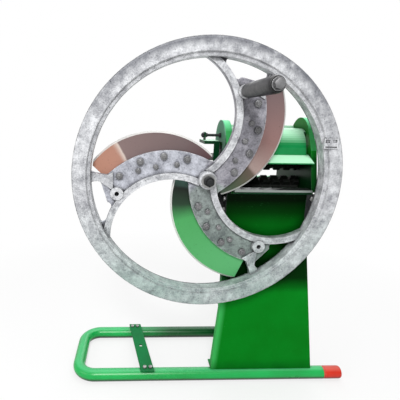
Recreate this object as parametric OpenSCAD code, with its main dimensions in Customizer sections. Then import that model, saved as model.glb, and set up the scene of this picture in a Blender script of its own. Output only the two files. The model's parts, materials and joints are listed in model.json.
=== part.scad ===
// Hand chaff cutter: a cast flywheel with three curved knives, two toothed feed rollers driven by a
// worm, a sheet steel throat and stand, and a base of bent tube.
// Millimetres. The modules are drawn round the point where the main shaft meets the plane of the rim's
// front face: +X to the right, +Y away from the crank, +Z up. Each is then set on the floor, with the
// origin under the middle of the whole.

/* [Wheel] */
// Radius over the rim
wheel_r = 350; // [340:1:360]
// Inner radius of the rim
rim_in_r = 304; // [300:1:310]
// Width of the rim along the shaft
rim_w = 45; // [40:1:50]
// Front face of the arms, behind the rim's front face
arm_y = 30; // [28:1:32]
// Thickness of an arm
arm_t = 13; // [11:1:15]
// Radius of the hub
hub_r = 23; // [22:1:28]

/* [Arms] */
// Radius of an arm's leading edge
lead_r = 233; // [228:1:238]
// Radius of the rib along the trailing edge
trail_r = 164; // [160:1:166]
// Width of that rib
rib_w = 18; // [14:1:20]
// Radius of the rounded corners between arm and rim
fillet_r = 11; // [6:1:13]
// Distance of a crank boss from the shaft
boss_dist = 239.6; // [236:0.1:243]
// Radius of a crank boss
boss_r = 17; // [15:1:19]

/* [Knives] */
// Radius of the cutting edge
knife_r = 214; // [210:1:217]
// Thickness of a knife
knife_t = 5; // [4:0.5:6]
// Width of the ground bevel
bevel_w = 5; // [4:1:12]
// Radius of the cutting edge of the lower knife, which is broader
low_knife_r = 232; // [228:1:234]

/* [Crank handle] */
// Length of the grip
grip_len = 192; // [170:1:200]
// Radius of the grip
grip_r = 18; // [16:0.5:20]
// Radius of the bolt that the grip turns on
spindle_r = 6; // [5:0.5:7]

/* [Main shaft] */
// Radius of the shaft
shaft_r = 12.5; // [12:0.5:14]
// How far back the shaft reaches
shaft_end_y = 350; // [340:1:370]
// Radial clearance of every turning fit
fit_gap = 0.05; // [0.03:0.01:0.08]

/* [Feed rollers] */
// Radius over the teeth
roller_r = 38; // [37:0.5:38.5]
// Depth of a groove
groove_d = 12.5; // [11:0.5:13]
// Spacing of the rings of teeth
ring_pitch = 30.5; // [29:0.5:31]
// Gap between the two rollers
roller_gap = 16; // [15:1:18]
// Distance of the rollers behind the rim's front face
roller_y = 160; // [158:1:162]
// Radius of a roller shaft
roller_shaft_r = 11; // [10:0.5:12]
// Toothed ribs along a roller
roller_ribs = 8; // [8:1:9]
// How far the upper roller can rise
lift = 6; // [3:0.5:6]

/* [Worm drive] */
// Teeth on a worm wheel
wheel_teeth = 12; // [12:1:12]
// Starts of the worm
worm_starts = 2; // [2:1:2]
// Gear module along the worm
gear_m = 4.5; // [4.5:0.1:4.5]
// Length of the worm
worm_len = 46; // [40:1:50]
// Width of a worm wheel
gear_w = 18; // [14:1:20]

/* [Throat] */
// Width between the cheeks
throat_w = 217; // [210:1:220]
// Inner face of the left cheek, to the right of the shaft
throat_x = 83; // [81:1:85]
// Top of the shear plate, below the shaft
shear_z = -32; // [-34:1:-30]
// Height of the hood lip above the shaft
lip_z = 42; // [40:1:44]
// Thickness of the cheeks
cheek_t = 6; // [5:0.5:6]
// Rear edge of the cheeks
cheek_end_y = 310; // [300:1:315]
// Radius of the round ear on each cheek
ear_r = 60; // [56:1:62]
// How far the rim of the left cheek stands out
left_rim_out = 12; // [10:1:13]
// How far the rim of the right cheek stands out
right_rim_out = 10; // [6:1:11]
// Thickness of the sheet metal
sheet_t = 3; // [2:0.5:3]

/* [Base frame] */
// Height of the main shaft above the floor
shaft_h = 643.5; // [635:0.5:650]
// Radius of the tube
tube_r = 19; // [17:0.5:21]
// Wall of the tube
tube_wall = 2.6; // [2:0.1:3.2]
// Centre of the front tube, behind the rim's front face
front_tube_y = 64; // [62:1:66]
// Centre of the back tube
back_tube_y = 284; // [280:1:290]
// Centre of the closed left end
left_tube_x = -365; // [-375:1:-355]
// Bend radius of the tube
bend_r = 55; // [50:1:65]
// Right ends of the tubes, without the caps
right_tube_x = 408; // [400:1:415]
// Length of a cap outside its tube
cap_len = 58; // [50:1:62]

/* [Springs] */
// Curls of a pressure spring
spring_curls = 6; // [5:1:6]
// Wire of a pressure spring
spring_wire = 2.6; // [2.2:0.2:2.6]
// Mean radius of a pressure spring
spring_r = 9; // [8.5:0.5:10]

/* [Hidden] */

// Colours
green = [0.05, 0.50, 0.15];
cast = [0.78, 0.79, 0.80];
steel = [0.62, 0.63, 0.65];
dark = [0.20, 0.21, 0.22];
knife_steel = [0.55, 0.42, 0.38];

// Wheel: angles of the three arms, and the places of bolts in one arm, as distance and angle
arm_turns = [0, 120, 240];
lead_c = [-99, -158];
trail_c = [-92, -165];
knife_c = [-134, -90];
low_knife_c = [-123, -89];
knife_in_c = [-100, -158];
knife_in_r = 185;
knife_bolts_at = [[75, 135.6], [129, 152.5], [181, 165.7], [230, 178.3]];
set_screws_at = [[88.5, 154.7], [138.5, 166.8], [182, 173.4]];
boss_angle = 189.4;
free_boss_turns = [0, 120];
arm_back_y = arm_y + arm_t;
knife_back_y = arm_back_y + knife_t;
crank_angle = boss_angle + 240;
crank_x = boss_dist * cos(crank_angle);
crank_z = boss_dist * sin(crank_angle);
hub_front_y = 2;
hub_back_y = 58;
rib_y = arm_y - 8;
branch_y = arm_y - 4;
rib_inset = 0.8;
boss_y = 18;
knife_bolt_r = 5;
set_screw_r = 4;
key_w = 8;

// Handle
grip_front_y = 6 - grip_len;
grip_washer_t = 3;
spindle_head_t = 9;
handle_end_y = grip_front_y - 1 - grip_washer_t - spindle_head_t;

// Rollers and gearing
roller_z = roller_r + roller_gap / 2;
gear_pitch_r = gear_m * wheel_teeth / 2;
worm_pitch_r = roller_z - gear_pitch_r;
worm_lead = worm_starts * gear_m * PI;
tooth_up = 3.6;
tooth_down = 4.7;
backlash = 1.3;
worm_tip_r = worm_pitch_r + tooth_up;
worm_root_r = worm_pitch_r - tooth_down;
worm_angle = atan(worm_lead / (2 * PI * worm_pitch_r));
gear_twist = gear_w * tan(worm_angle) / gear_pitch_r * 180 / PI;

// Throat
right_x = throat_x + throat_w;
roller_len = throat_w - 4;
ear_c = [roller_y + 8, 104];
left_ear_c = [roller_y + 8, 93];
cheek_low_z = -110;
cheek_front_y = 58;
slot_half_w = 14.8;
block_half_w = 14.5;
slot_low_z = roller_z - 22.5;
slot_top_z = roller_z + 22 + lift + 1;
bed_t = 6;
bed_top_z = shear_z - 6;
floor_top_z = shear_z - 4;
bed_low_z = bed_top_z - bed_t;
floor_t = 4;
mouth_y = knife_back_y + 0.6;
hood_c = [roller_y, 72];
hood_r = 60;
sheet_front_y = 59;
flange_deep = 54;
fold_deep = 18;
rear_sheet_y = back_tube_y - 1;
rear_left_x = 140;
sheet_left_x = 66;
tab_low_z = -114;
notch_x = right_x - 10;
flare_z = -148;
shelf_z = -402;
stand_low_z = -shaft_h + 2 * tube_r;

// Bearing blocks, draw rods and springs
block_out = 19;
block_gap = 0.3;
rod_y = roller_y + 36;
rod_r = 5;
rod_out = 11;
lug_top_z = -54;
lug_t = 8;
lug_w = 24;
lug_low_z = lug_top_z - lug_t;
spring_len = 38;
rod_nut_top_z = lug_low_z - spring_len - 2;
rod_low_z = rod_nut_top_z - 14;
block_top_z = roller_z + 24;
rod_washer_r = 10.4;

// Place of the whole on the floor
x_min = left_tube_x - tube_r;
x_max = right_tube_x + cap_len;
mid_x = (x_min + x_max) / 2;
mid_y = (handle_end_y + shaft_end_y) / 2;

module placed() translate([-mid_x, -mid_y, shaft_h]) children();

// A flat outline drawn in X and Z, between two distances along Y
module plate_xz(y0, y1) translate([0, y1, 0]) rotate([90, 0, 0]) linear_extrude(y1 - y0) children();

// A flat outline drawn in Y and Z, between two distances along X
module plate_yz(x0, x1) translate([x0, 0, 0]) rotate([90, 0, 90]) linear_extrude(x1 - x0) children();

// A turned shape: its outline is drawn as radius and distance along the axis
module turned_y(at = [0, 0]) translate([at[0], 0, at[1]]) rotate([-90, 0, 0]) rotate_extrude($fn = 96) children();
module turned_x(y, z) translate([0, y, z]) rotate([0, 90, 0]) rotate_extrude($fn = 96) children();

module rod_along_y(x, z, y0, y1, r) translate([x, y0, z]) rotate([-90, 0, 0]) cylinder(h = y1 - y0, r = r, $fn = 48);
module rod_along_x(y, z, x0, x1, r) translate([x0, y, z]) rotate([0, 90, 0]) cylinder(h = x1 - x0, r = r, $fn = 48);
module rod_along_z(x, y, z0, z1, r) translate([x, y, z0]) cylinder(h = z1 - z0, r = r, $fn = 48);

// Hexagons: across is the distance between flats
function corner_r(across) = across / 2 / cos(30);
module hex_y(x, z, y0, y1, across)
    translate([x, y0, z]) rotate([-90, 0, 0]) cylinder(h = y1 - y0, r = corner_r(across), $fn = 6);
module hex_x(y, z, x0, x1, across)
    translate([x0, y, z]) rotate([0, 90, 0]) cylinder(h = x1 - x0, r = corner_r(across), $fn = 6);
module hex_z(x, y, z0, z1, across)
    translate([x, y, z0]) cylinder(h = z1 - z0, r = corner_r(across), $fn = 6);

function polar(p) = [p[0] * cos(p[1]), p[0] * sin(p[1])];
function arc(c, r, a0, a1, steps) = [for (i = [0:steps])
    let (a = a0 + (a1 - a0) * i / steps) c + r * [cos(a), sin(a)]];

// Base of bent tube

module tube_straight_x(y, x0, x1, r, inner) difference() {
    rod_along_x(y, tube_z, x0, x1, r);
    rod_along_x(y, tube_z, x0 - 1, x1 + 1, inner);
}
tube_z = -shaft_h + tube_r;
tube_in_r = tube_r - tube_wall;

module tube_bend(cy, turn) translate([left_tube_x + bend_r, cy, tube_z]) rotate([0, 0, turn])
    rotate_extrude(angle = 90, $fn = 96) translate([bend_r, 0]) difference() {
        circle(r = tube_r, $fn = 48);
        circle(r = tube_in_r, $fn = 48);
    }

module base_tube() color(green) placed() union() {
    tube_straight_x(front_tube_y, left_tube_x + bend_r, right_tube_x, tube_r, tube_in_r);
    tube_straight_x(back_tube_y, left_tube_x + bend_r, right_tube_x, tube_r, tube_in_r);
    tube_bend(front_tube_y + bend_r, 180);
    tube_bend(back_tube_y - bend_r, 90);
    translate([left_tube_x, 0, tube_z]) rotate([-90, 0, 0]) difference() {
        translate([0, 0, front_tube_y + bend_r]) cylinder(h = back_tube_y - front_tube_y - 2 * bend_r, r = tube_r, $fn = 48);
        translate([0, 0, front_tube_y]) cylinder(h = back_tube_y - front_tube_y, r = tube_in_r, $fn = 48);
    }
}

module tube_cap(y) turned_x(y, tube_z) polygon(concat(
    [[0, right_tube_x - 24], [tube_in_r, right_tube_x - 24], [tube_in_r, right_tube_x], [tube_r, right_tube_x]],
    arc([tube_r - 5, right_tube_x + cap_len - 5], 5, 0, 90, 6),
    [[0, right_tube_x + cap_len]]));

module tube_caps() color([0.85, 0.15, 0.10]) placed() {
    tube_cap(front_tube_y);
    tube_cap(back_tube_y);
}

bar_w = 41;
bar_t = 5;
bar_front_x = -146;
bar_back_x = -186;
bar_z = stand_low_z;
bar_hole_r = 6.25;
bar_bolt_r = 4;
bar_bolts_at = [
    [bar_front_x - 9, front_tube_y], [bar_front_x + 9, front_tube_y],
    [bar_back_x - 9, back_tube_y], [bar_back_x + 9, back_tube_y]
];

module cross_bar() color(green) placed() difference() {
    translate([0, 0, bar_z]) linear_extrude(bar_t) polygon([
        [bar_front_x - bar_w / 2, front_tube_y - 15], [bar_front_x + bar_w / 2, front_tube_y - 15],
        [bar_back_x + bar_w / 2, back_tube_y + 15], [bar_back_x - bar_w / 2, back_tube_y + 15]]);
    rod_along_z((bar_front_x + bar_back_x) / 2, (front_tube_y + back_tube_y) / 2, bar_z - 1, bar_z + bar_t + 1, bar_hole_r);
    for (p = bar_bolts_at) rod_along_z(p[0], p[1], bar_z - 1, bar_z + bar_t + 1, bar_bolt_r);
}

module cross_bar_bolts() color(steel) placed() for (p = bar_bolts_at) {
    rod_along_z(p[0], p[1], bar_z, bar_z + bar_t, bar_bolt_r);
    hex_z(p[0], p[1], bar_z + bar_t, bar_z + bar_t + 5, 11);
}

// Stand of folded sheet

function sheet_left(z) = z > shelf_z ? sheet_left_x : sheet_left_x - (shelf_z - z) * 16 / (shelf_z - stand_low_z);
function sheet_right(z) = z > flare_z ? right_x : right_x + (flare_z - z) * 67.5 / (flare_z - stand_low_z);

module front_sheet_outline() polygon([
    [sheet_left_x, bed_low_z], [notch_x, bed_low_z], [notch_x, tab_low_z], [right_x, tab_low_z],
    [right_x, flare_z], [sheet_right(stand_low_z), stand_low_z],
    [sheet_left(stand_low_z), stand_low_z], [sheet_left_x, shelf_z]]);

// The flanges: at the left a tab inside the cheek and a narrow fold below it, at the right one deep fold
module left_tab_outline() translate([throat_x, tab_low_z - 10]) square([sheet_t, bed_low_z - tab_low_z + 10]);

module left_fold_outline() polygon([
    [sheet_left_x, tab_low_z], [sheet_left_x + sheet_t, tab_low_z],
    [sheet_left_x + sheet_t, shelf_z], [sheet_left(stand_low_z) + sheet_t, stand_low_z],
    [sheet_left(stand_low_z), stand_low_z], [sheet_left_x, shelf_z]]);

module right_flange_outline() polygon([
    [right_x - sheet_t, bed_low_z], [right_x, bed_low_z],
    [right_x, flare_z], [sheet_right(stand_low_z), stand_low_z],
    [sheet_right(stand_low_z) - sheet_t, stand_low_z], [right_x - sheet_t, flare_z]]);

// Bracket at the right front corner
bracket_t = 4;
bracket_leaf_t = 3;
bracket_leaf_w = 26;
bracket_deep = 34;
bracket_bolt_at = [right_x + 6, -58];
bracket_front_y = sheet_front_y - 1;
bracket_low_z = tab_low_z + 2;
bracket_top_z = bed_low_z - 0.5;

// Bolts that join cheeks and stand: distance back and height. The last one is only on the right.
stand_bolts_at = [[108, -66], [108, -96], [74, -66]];
left_stand_bolts_at = [stand_bolts_at[0], stand_bolts_at[1]];
stand_bolt_r = 4;

module front_sheet_foot() translate([sheet_left(stand_low_z), sheet_front_y, stand_low_z])
    cube([sheet_right(stand_low_z) - sheet_left(stand_low_z), 44, sheet_t]);

module stand_front() color(green) placed() difference() {
    union() {
        plate_xz(sheet_front_y, sheet_front_y + sheet_t) front_sheet_outline();
        plate_xz(sheet_front_y, sheet_front_y + sheet_t + flange_deep) left_tab_outline();
        plate_xz(sheet_front_y, sheet_front_y + sheet_t + fold_deep) left_fold_outline();
        plate_xz(sheet_front_y, sheet_front_y + sheet_t + flange_deep) right_flange_outline();
        front_sheet_foot();
    }
    translate([notch_x, bracket_front_y, tab_low_z])
        cube([right_x - notch_x + 1, bracket_leaf_t + 0.4, bed_low_z - tab_low_z + 1]);
    for (p = left_stand_bolts_at) rod_along_x(p[0], p[1], throat_x - 5, throat_x + 5, stand_bolt_r);
    for (p = stand_bolts_at) rod_along_x(p[0], p[1], right_x - 5, right_x + 5, stand_bolt_r);
}

rear_right_x = right_x;
rear_flange = 30;
rear_bolts_at = [[rear_sheet_y - 16, -66], [rear_sheet_y - 16, -96]];

module stand_rear() color(green) placed() difference() {
    translate([rear_left_x, rear_sheet_y - rear_flange, stand_low_z])
        cube([rear_right_x - rear_left_x, rear_flange + sheet_t, floor_top_z - floor_t - stand_low_z]);
    translate([rear_left_x + sheet_t, rear_sheet_y - rear_flange - 1, stand_low_z + sheet_t])
        cube([rear_right_x - rear_left_x - 2 * sheet_t, rear_flange + 1, floor_top_z - floor_t - stand_low_z - 2 * sheet_t]);
    for (p = rear_bolts_at) rod_along_x(p[0], p[1], rear_right_x - 5, rear_right_x + 5, stand_bolt_r);
}

shelf_right_x = sheet_right(shelf_z + sheet_t) - sheet_t;
module stand_shelf() color(green) placed() translate([0, 0, shelf_z]) linear_extrude(sheet_t) polygon([
    [sheet_left_x + sheet_t, sheet_front_y + sheet_t], [shelf_right_x, sheet_front_y + sheet_t],
    [shelf_right_x, sheet_front_y + sheet_t + flange_deep],
    [rear_right_x - sheet_t, rear_sheet_y - rear_flange], [rear_right_x - sheet_t, rear_sheet_y],
    [rear_left_x + sheet_t, rear_sheet_y], [rear_left_x + sheet_t, rear_sheet_y - rear_flange],
    [sheet_left_x + sheet_t, sheet_front_y + sheet_t + flange_deep]]);

// Cheeks of the throat

guard_rod_at = [roller_y, 109];
guard_rod_r = 4;
hood_bolts_at = [[roller_y - 18, 118], [roller_y + 34, 118]];
hood_bolt_r = 3;
hood_tab_h = [16.5, 20];
front_bearing_bolts_at = [[83, 27], [74, -62], [74, -94]];
rear_bearing_y = 216;
bearing_len = 30;
rear_bearing_bolts_at = [[rear_bearing_y + 15, 34], [rear_bearing_y + 15, -34]];
bearing_bolt_r = 4;
roller_bush_r = 15;

module cheek_shape(ear) {
    polygon([
        [sheet_front_y + sheet_t, cheek_low_z], [sheet_front_y + sheet_t, bed_low_z],
        [cheek_front_y, bed_low_z], [cheek_front_y, shear_z + 5], [84, ear[1] - 30], ear + [-52, 30],
        ear, ear + [54, -24], [236, 52], [cheek_end_y, 52], [cheek_end_y, cheek_low_z]]);
    translate(ear) circle(r = ear_r, $fn = 96);
}

// Rim that stands out along the front edge and round the ear, from a given height up
module cheek_rim(ear, low_z) intersection() {
    difference() {
        cheek_shape(ear);
        offset(delta = -cheek_t) cheek_shape(ear);
    }
    polygon([[50, low_z], [104, low_z], [104, 60], [300, 60], [300, 200], [50, 200]]);
}

module cheek_outline(ear) difference() {
    cheek_shape(ear);
    translate([roller_y - slot_half_w, slot_low_z]) square([2 * slot_half_w, slot_top_z - slot_low_z]);
    translate([roller_y, -roller_z]) circle(r = roller_bush_r, $fn = 48);
    for (p = hood_bolts_at) translate(p) circle(r = hood_bolt_r, $fn = 24);
}

module bolt_holes_yz(spots, r) for (p = spots) translate(p) circle(r = r, $fn = 24);

module left_cheek() color(green) placed() {
    plate_yz(throat_x - cheek_t, throat_x) difference() {
        cheek_outline(left_ear_c);
        translate(guard_rod_at) circle(r = guard_rod_r, $fn = 48);
        bolt_holes_yz(left_stand_bolts_at, stand_bolt_r);
        bolt_holes_yz(concat(front_bearing_bolts_at, rear_bearing_bolts_at), bearing_bolt_r);
    }
    plate_yz(throat_x - cheek_t - left_rim_out, throat_x - cheek_t + 1) cheek_rim(left_ear_c, 44);
}

module right_cheek() color(green) placed() {
    plate_yz(right_x, right_x + cheek_t) difference() {
        cheek_outline(ear_c);
        bolt_holes_yz(concat(stand_bolts_at, rear_bolts_at), stand_bolt_r);
    }
    plate_yz(right_x + cheek_t - 1, right_x + cheek_t + right_rim_out) cheek_rim(ear_c, bed_low_z + 4);
}

// Disc that closes the left ear, cut away where the bearing block and its draw rod rise
ear_cover_x = throat_x - cheek_t - left_rim_out;
ear_cover_t = 3;
ear_cut_y = 137;
ear_cut_z = 90;
module left_ear_cover() color(green) placed() plate_yz(ear_cover_x - ear_cover_t, ear_cover_x) difference() {
    translate(left_ear_c) circle(r = ear_r, $fn = 96);
    translate([ear_cut_y, ear_cut_z - 100]) square([100, 100]);
    translate(guard_rod_at) circle(r = guard_rod_r, $fn = 48);
}

// Angle bracket at the right front corner, with one bolt of its own in its front leaf
module right_bracket() color(dark) placed() difference() {
    translate([0, bracket_front_y, bracket_low_z]) {
        translate([notch_x + 0.3, 0, 0]) cube([bracket_leaf_w, bracket_leaf_t, bracket_top_z - bracket_low_z]);
        translate([right_x + cheek_t, 0, 0]) cube([bracket_t, bracket_deep, bracket_top_z - bracket_low_z]);
    }
    rod_along_y(bracket_bolt_at[0], bracket_bolt_at[1], bracket_front_y - 1, bracket_front_y + 5, stand_bolt_r);
    rod_along_x(stand_bolts_at[2][0], stand_bolts_at[2][1], right_x, right_x + 20, stand_bolt_r);
}

// Bolts through cheek and stand, with a hexagon head outside and a nut inside
module cheek_bolt(p, x_head, x_nut, side) {
    rod_along_x(p[0], p[1], min(x_head, x_nut), max(x_head, x_nut), stand_bolt_r);
    hex_x(p[0], p[1], side < 0 ? x_head - 5.5 : x_head, side < 0 ? x_head : x_head + 5.5, 13);
    hex_x(p[0], p[1], side < 0 ? x_nut : x_nut - 6.5, side < 0 ? x_nut + 6.5 : x_nut, 13);
}

module cheek_bolts() color(steel) placed() {
    for (p = left_stand_bolts_at) cheek_bolt(p, throat_x - cheek_t, throat_x + sheet_t, -1);
    for (p = concat([stand_bolts_at[0], stand_bolts_at[1]], rear_bolts_at))
        cheek_bolt(p, right_x + cheek_t, right_x - sheet_t, 1);
    cheek_bolt(stand_bolts_at[2], right_x + cheek_t + bracket_t, right_x - sheet_t, 1);
    rod_along_y(bracket_bolt_at[0], bracket_bolt_at[1], bracket_front_y, bracket_front_y + bracket_leaf_t, stand_bolt_r);
    hex_y(bracket_bolt_at[0], bracket_bolt_at[1], bracket_front_y - 5, bracket_front_y, 13);
}

// Floor of the throat, shear plate and hood

screw_xs = [throat_x + 25, throat_x + 80, right_x - 80, right_x - 25];
screw_y = 68;
screw_r = 3;
screw_head_r = 6;

module front_bed() color(green) placed() difference() {
    translate([throat_x, mouth_y + 5, bed_low_z]) cube([throat_w, 62, bed_t]);
    for (x = screw_xs) rod_along_z(x, screw_y, bed_low_z - 1, bed_top_z + 1, screw_r);
}

module shear_plate() color(steel) placed() difference() {
    translate([throat_x + 0.5, mouth_y, bed_top_z]) cube([throat_w - 1, 36, shear_z - bed_top_z]);
    for (x = screw_xs) {
        rod_along_z(x, screw_y, bed_top_z - 1, shear_z + 1, screw_r);
        translate([x, screw_y, shear_z - 3]) cylinder(h = 3.01, r1 = screw_r, r2 = screw_head_r, $fn = 48);
    }
}

module shear_plate_screws() color(dark) placed() for (x = screw_xs) {
    rod_along_z(x, screw_y, bed_low_z - 7, shear_z - 3, screw_r);
    translate([x, screw_y, shear_z - 3]) cylinder(h = 3, r1 = screw_r, r2 = screw_head_r, $fn = 48);
    difference() {
        hex_z(x, screw_y, bed_low_z - 5, bed_low_z, 10);
        rod_along_z(x, screw_y, bed_low_z - 6, bed_low_z + 1, screw_r);
    }
}

// Holes for a feed trough: middle of the pattern, half spacing each way and radius
trough_c = [(throat_x + right_x) / 2, 264];
trough_half = [80, 34];
trough_hole_r = 4.25;

module feed_floor() color(green) placed() difference() {
    translate([throat_x, roller_y + 46, floor_top_z - floor_t]) cube([throat_w, cheek_end_y - roller_y - 38, floor_t]);
    for (sx = [-1, 1], sy = [-1, 1])
        rod_along_z(trough_c[0] + sx * trough_half[0], trough_c[1] + sy * trough_half[1],
            floor_top_z - floor_t - 1, floor_top_z + 1, trough_hole_r);
}

hood_line = concat([[cheek_front_y - 1, lip_z], [94, 60]],
    arc(hood_c, hood_r, 172, 90, 12), [[205, 132], [215, 139]]);
hood_under = concat([[cheek_front_y - 1, lip_z - 3], [96, 57]],
    arc(hood_c, hood_r - sheet_t, 172, 90, 12), [[205.5, 129], [217, 137]]);

// Slot along the hood's right edge
hood_slot_x = right_x - 7;
hood_slot_y = 78;
hood_slot_deep = 50;
hood_slot_low_z = 62;

module hood() color(green) placed() difference() {
    union() {
        plate_yz(throat_x, right_x) polygon(concat(hood_line, [for (i = [len(hood_under) - 1:-1:0]) hood_under[i]]));
        for (x = [throat_x, right_x - sheet_t], i = [0, 1])
            translate([x, hood_bolts_at[i][0] - 9, hood_bolts_at[i][1] - 9]) cube([sheet_t, 18, hood_tab_h[i]]);
    }
    translate([hood_slot_x, hood_slot_y, hood_slot_low_z]) cube([20, hood_slot_deep, 90]);
    for (p = hood_bolts_at) {
        rod_along_x(p[0], p[1], throat_x - 1, throat_x + 5, hood_bolt_r);
        rod_along_x(p[0], p[1], right_x - 5, right_x + 1, hood_bolt_r);
    }
}

module hood_bolts() color(steel) placed() for (p = hood_bolts_at) {
    rod_along_x(p[0], p[1], throat_x - cheek_t, throat_x + sheet_t + 6, hood_bolt_r);
    hex_x(p[0], p[1], throat_x - cheek_t - 4, throat_x - cheek_t, 10);
    rod_along_x(p[0], p[1], right_x - sheet_t - 6, right_x + cheek_t, hood_bolt_r);
    hex_x(p[0], p[1], right_x + cheek_t, right_x + cheek_t + 4, 10);
}

// Bearings of the main shaft, carried by the left cheek

bush_r = 17;
bearing_r = 27;

module bearing_arm(y0, bolts, flange_low, flange_top) difference() {
    union() {
        rod_along_y(0, 0, y0, y0 + bearing_len, bearing_r);
        translate([0, y0 + 6, -16]) cube([throat_x - cheek_t - 8, bearing_len - 12, 32]);
        translate([throat_x - cheek_t - 12, y0, flange_low]) cube([12, bearing_len, flange_top - flange_low]);
    }
    rod_along_y(0, 0, y0 - 1, y0 + bearing_len + 1, bush_r);
    for (p = bolts) rod_along_x(p[0], p[1], throat_x - cheek_t - 13, throat_x, bearing_bolt_r);
}

front_bearing_y = 62;
bearing_web_t = 6;
bearing_web_x = throat_x - cheek_t - 11;
module front_bearing() color(dark) placed() union() {
    bearing_arm(front_bearing_y, front_bearing_bolts_at, -106, 38);
    plate_xz(front_bearing_y + bearing_len - bearing_web_t, front_bearing_y + bearing_len) difference() {
        polygon([[0, -22], [40, -104], [bearing_web_x, -104], [bearing_web_x, 14], [20, 14]]);
        circle(r = bearing_r - 1, $fn = 48);
    }
}
module rear_bearing() color(dark) placed() bearing_arm(rear_bearing_y, rear_bearing_bolts_at, -48, 48);

module shaft_bush(y0) turned_y() translate([shaft_r + fit_gap, y0]) square([bush_r - shaft_r - fit_gap, bearing_len]);
module shaft_bushes() color([0.72, 0.55, 0.25]) placed() {
    shaft_bush(front_bearing_y);
    shaft_bush(rear_bearing_y);
}

module bearing_bolts() color(steel) placed() for (p = concat(front_bearing_bolts_at, rear_bearing_bolts_at)) {
    rod_along_x(p[0], p[1], throat_x - cheek_t - 12, throat_x, bearing_bolt_r);
    hex_x(p[0], p[1], throat_x - cheek_t - 17.5, throat_x - cheek_t - 12, 13);
}

// Flanged bushes of the lower roller, one in each cheek
module roller_bush(x_in, x_out) difference() {
    union() {
        rod_along_x(roller_y, -roller_z, min(x_in, x_out), max(x_in, x_out), roller_bush_r);
        rod_along_x(roller_y, -roller_z, x_out < x_in ? x_in - cheek_t - 10 : x_in + cheek_t,
            x_out < x_in ? x_in - cheek_t : x_in + cheek_t + 10, roller_bush_r + 6);
    }
    rod_along_x(roller_y, -roller_z, min(x_in, x_out) - 1, max(x_in, x_out) + 1, roller_shaft_r + fit_gap);
}

module roller_bushes() color([0.72, 0.55, 0.25]) placed() {
    roller_bush(throat_x, throat_x - cheek_t - 12);
    roller_bush(right_x, right_x + cheek_t + 12);
}

// Guard beside the gears, hung from a rod that the left ear carries

guard_left_x = 7;
guard_skirt_x = 34;
guard_right_x = 50;
guard_top_z = 95;
guard_t = 2;
guard_deep = 84;
guard_lip = 9;
guard_skirt_z = 20;
hanger_x = 12;

module gear_guard() color(green) placed() union() {
    translate([guard_left_x, roller_y - guard_deep / 2, 0]) {
        translate([0, 0, guard_top_z - guard_t]) cube([guard_right_x - guard_left_x, guard_deep, guard_t]);
        translate([0, 0, guard_top_z - guard_lip]) cube([guard_t, guard_deep, guard_lip]);
        translate([0, 0, guard_top_z - guard_lip]) cube([guard_right_x - guard_left_x, guard_t, guard_lip]);
        translate([guard_skirt_x - guard_left_x, 0, guard_skirt_z])
            cube([guard_right_x - guard_skirt_x, guard_t, guard_top_z - guard_skirt_z]);
    }
    difference() {
        translate([hanger_x, roller_y - 10, guard_top_z]) cube([4, 20, guard_rod_at[1] + 9 - guard_top_z]);
        rod_along_x(guard_rod_at[0], guard_rod_at[1], hanger_x - 1, hanger_x + 5, guard_rod_r);
    }
}

module guard_rod() color(dark) placed() {
    rod_along_x(guard_rod_at[0], guard_rod_at[1], 4, throat_x, guard_rod_r);
    for (x = [hanger_x - 6, hanger_x + 4, ear_cover_x - ear_cover_t - 6]) difference() {
        hex_x(guard_rod_at[0], guard_rod_at[1], x, x + 6, 12);
        rod_along_x(guard_rod_at[0], guard_rod_at[1], x - 1, x + 7, guard_rod_r);
    }
}

// Lugs that the pressure springs push against
module spring_lug(x_low, x_rod) difference() {
    translate([x_low, rod_y - lug_w / 2, lug_low_z]) cube([lug_w, lug_w, lug_t]);
    rod_along_z(x_rod, rod_y, lug_low_z - 1, lug_top_z + 1, rod_r + 0.6);
}

left_rod_x = throat_x - cheek_t - block_gap - rod_out;
right_rod_x = right_x + cheek_t + block_gap + rod_out;

module spring_lugs() color(green) placed() {
    spring_lug(throat_x - cheek_t - lug_w, left_rod_x);
    spring_lug(right_x + cheek_t, right_rod_x);
}

// Flywheel

module crescent() intersection() {
    translate(lead_c) circle(r = lead_r, $fn = 144);
    difference() {
        polygon([[10, 0], [0, 110], [-240, 110], [-290, 30], [-262, -64], [-150, -64], [-30, -40]]);
        translate(trail_c) circle(r = trail_r + 2, $fn = 144);
    }
}

module rib(inset = 0) intersection() {
    translate(trail_c) difference() {
        circle(r = trail_r + rib_w - inset, $fn = 144);
        circle(r = trail_r + inset, $fn = 144);
    }
    polygon([[-20, -60], [-20, 60], [-300, 60], [-300, -172], [-240, -172], [-240, -110], [-120, -60]]);
}

module branch() polygon([
    [-246, 18], [-262, 9], [-292, 14], [-318, 22], [-320, -16], [-300, -9], [-284, -7], [-258, -25], [-246, -34]]);

module arms_outline() offset(r = -fillet_r, $fn = 32) offset(delta = fillet_r) union() {
    difference() {
        circle(r = rim_in_r + 26, $fn = 144);
        circle(r = rim_in_r + 4, $fn = 144);
    }
    circle(r = hub_r + 19, $fn = 72);
    for (a = arm_turns) rotate(a) {
        crescent();
        rib();
        branch();
    }
}

module rim() turned_y() polygon([
    [rim_in_r, 7], [rim_in_r + 7, 5], [rim_in_r + 9, 0.8], [rim_in_r + 11, 0], [wheel_r - 5, 0], [wheel_r - 1, 1.5],
    [wheel_r, 5], [wheel_r, rim_w - 5], [wheel_r - 1, rim_w - 1.5], [wheel_r - 5, rim_w],
    [rim_in_r + 5, rim_w], [rim_in_r, rim_w - 4]]);

module hub() turned_y() polygon([
    [0, hub_front_y], [hub_r - 4, hub_front_y], [hub_r, hub_front_y + 4],
    [hub_r, hub_back_y - 3], [hub_r - 3, hub_back_y], [0, hub_back_y]]);

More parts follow.
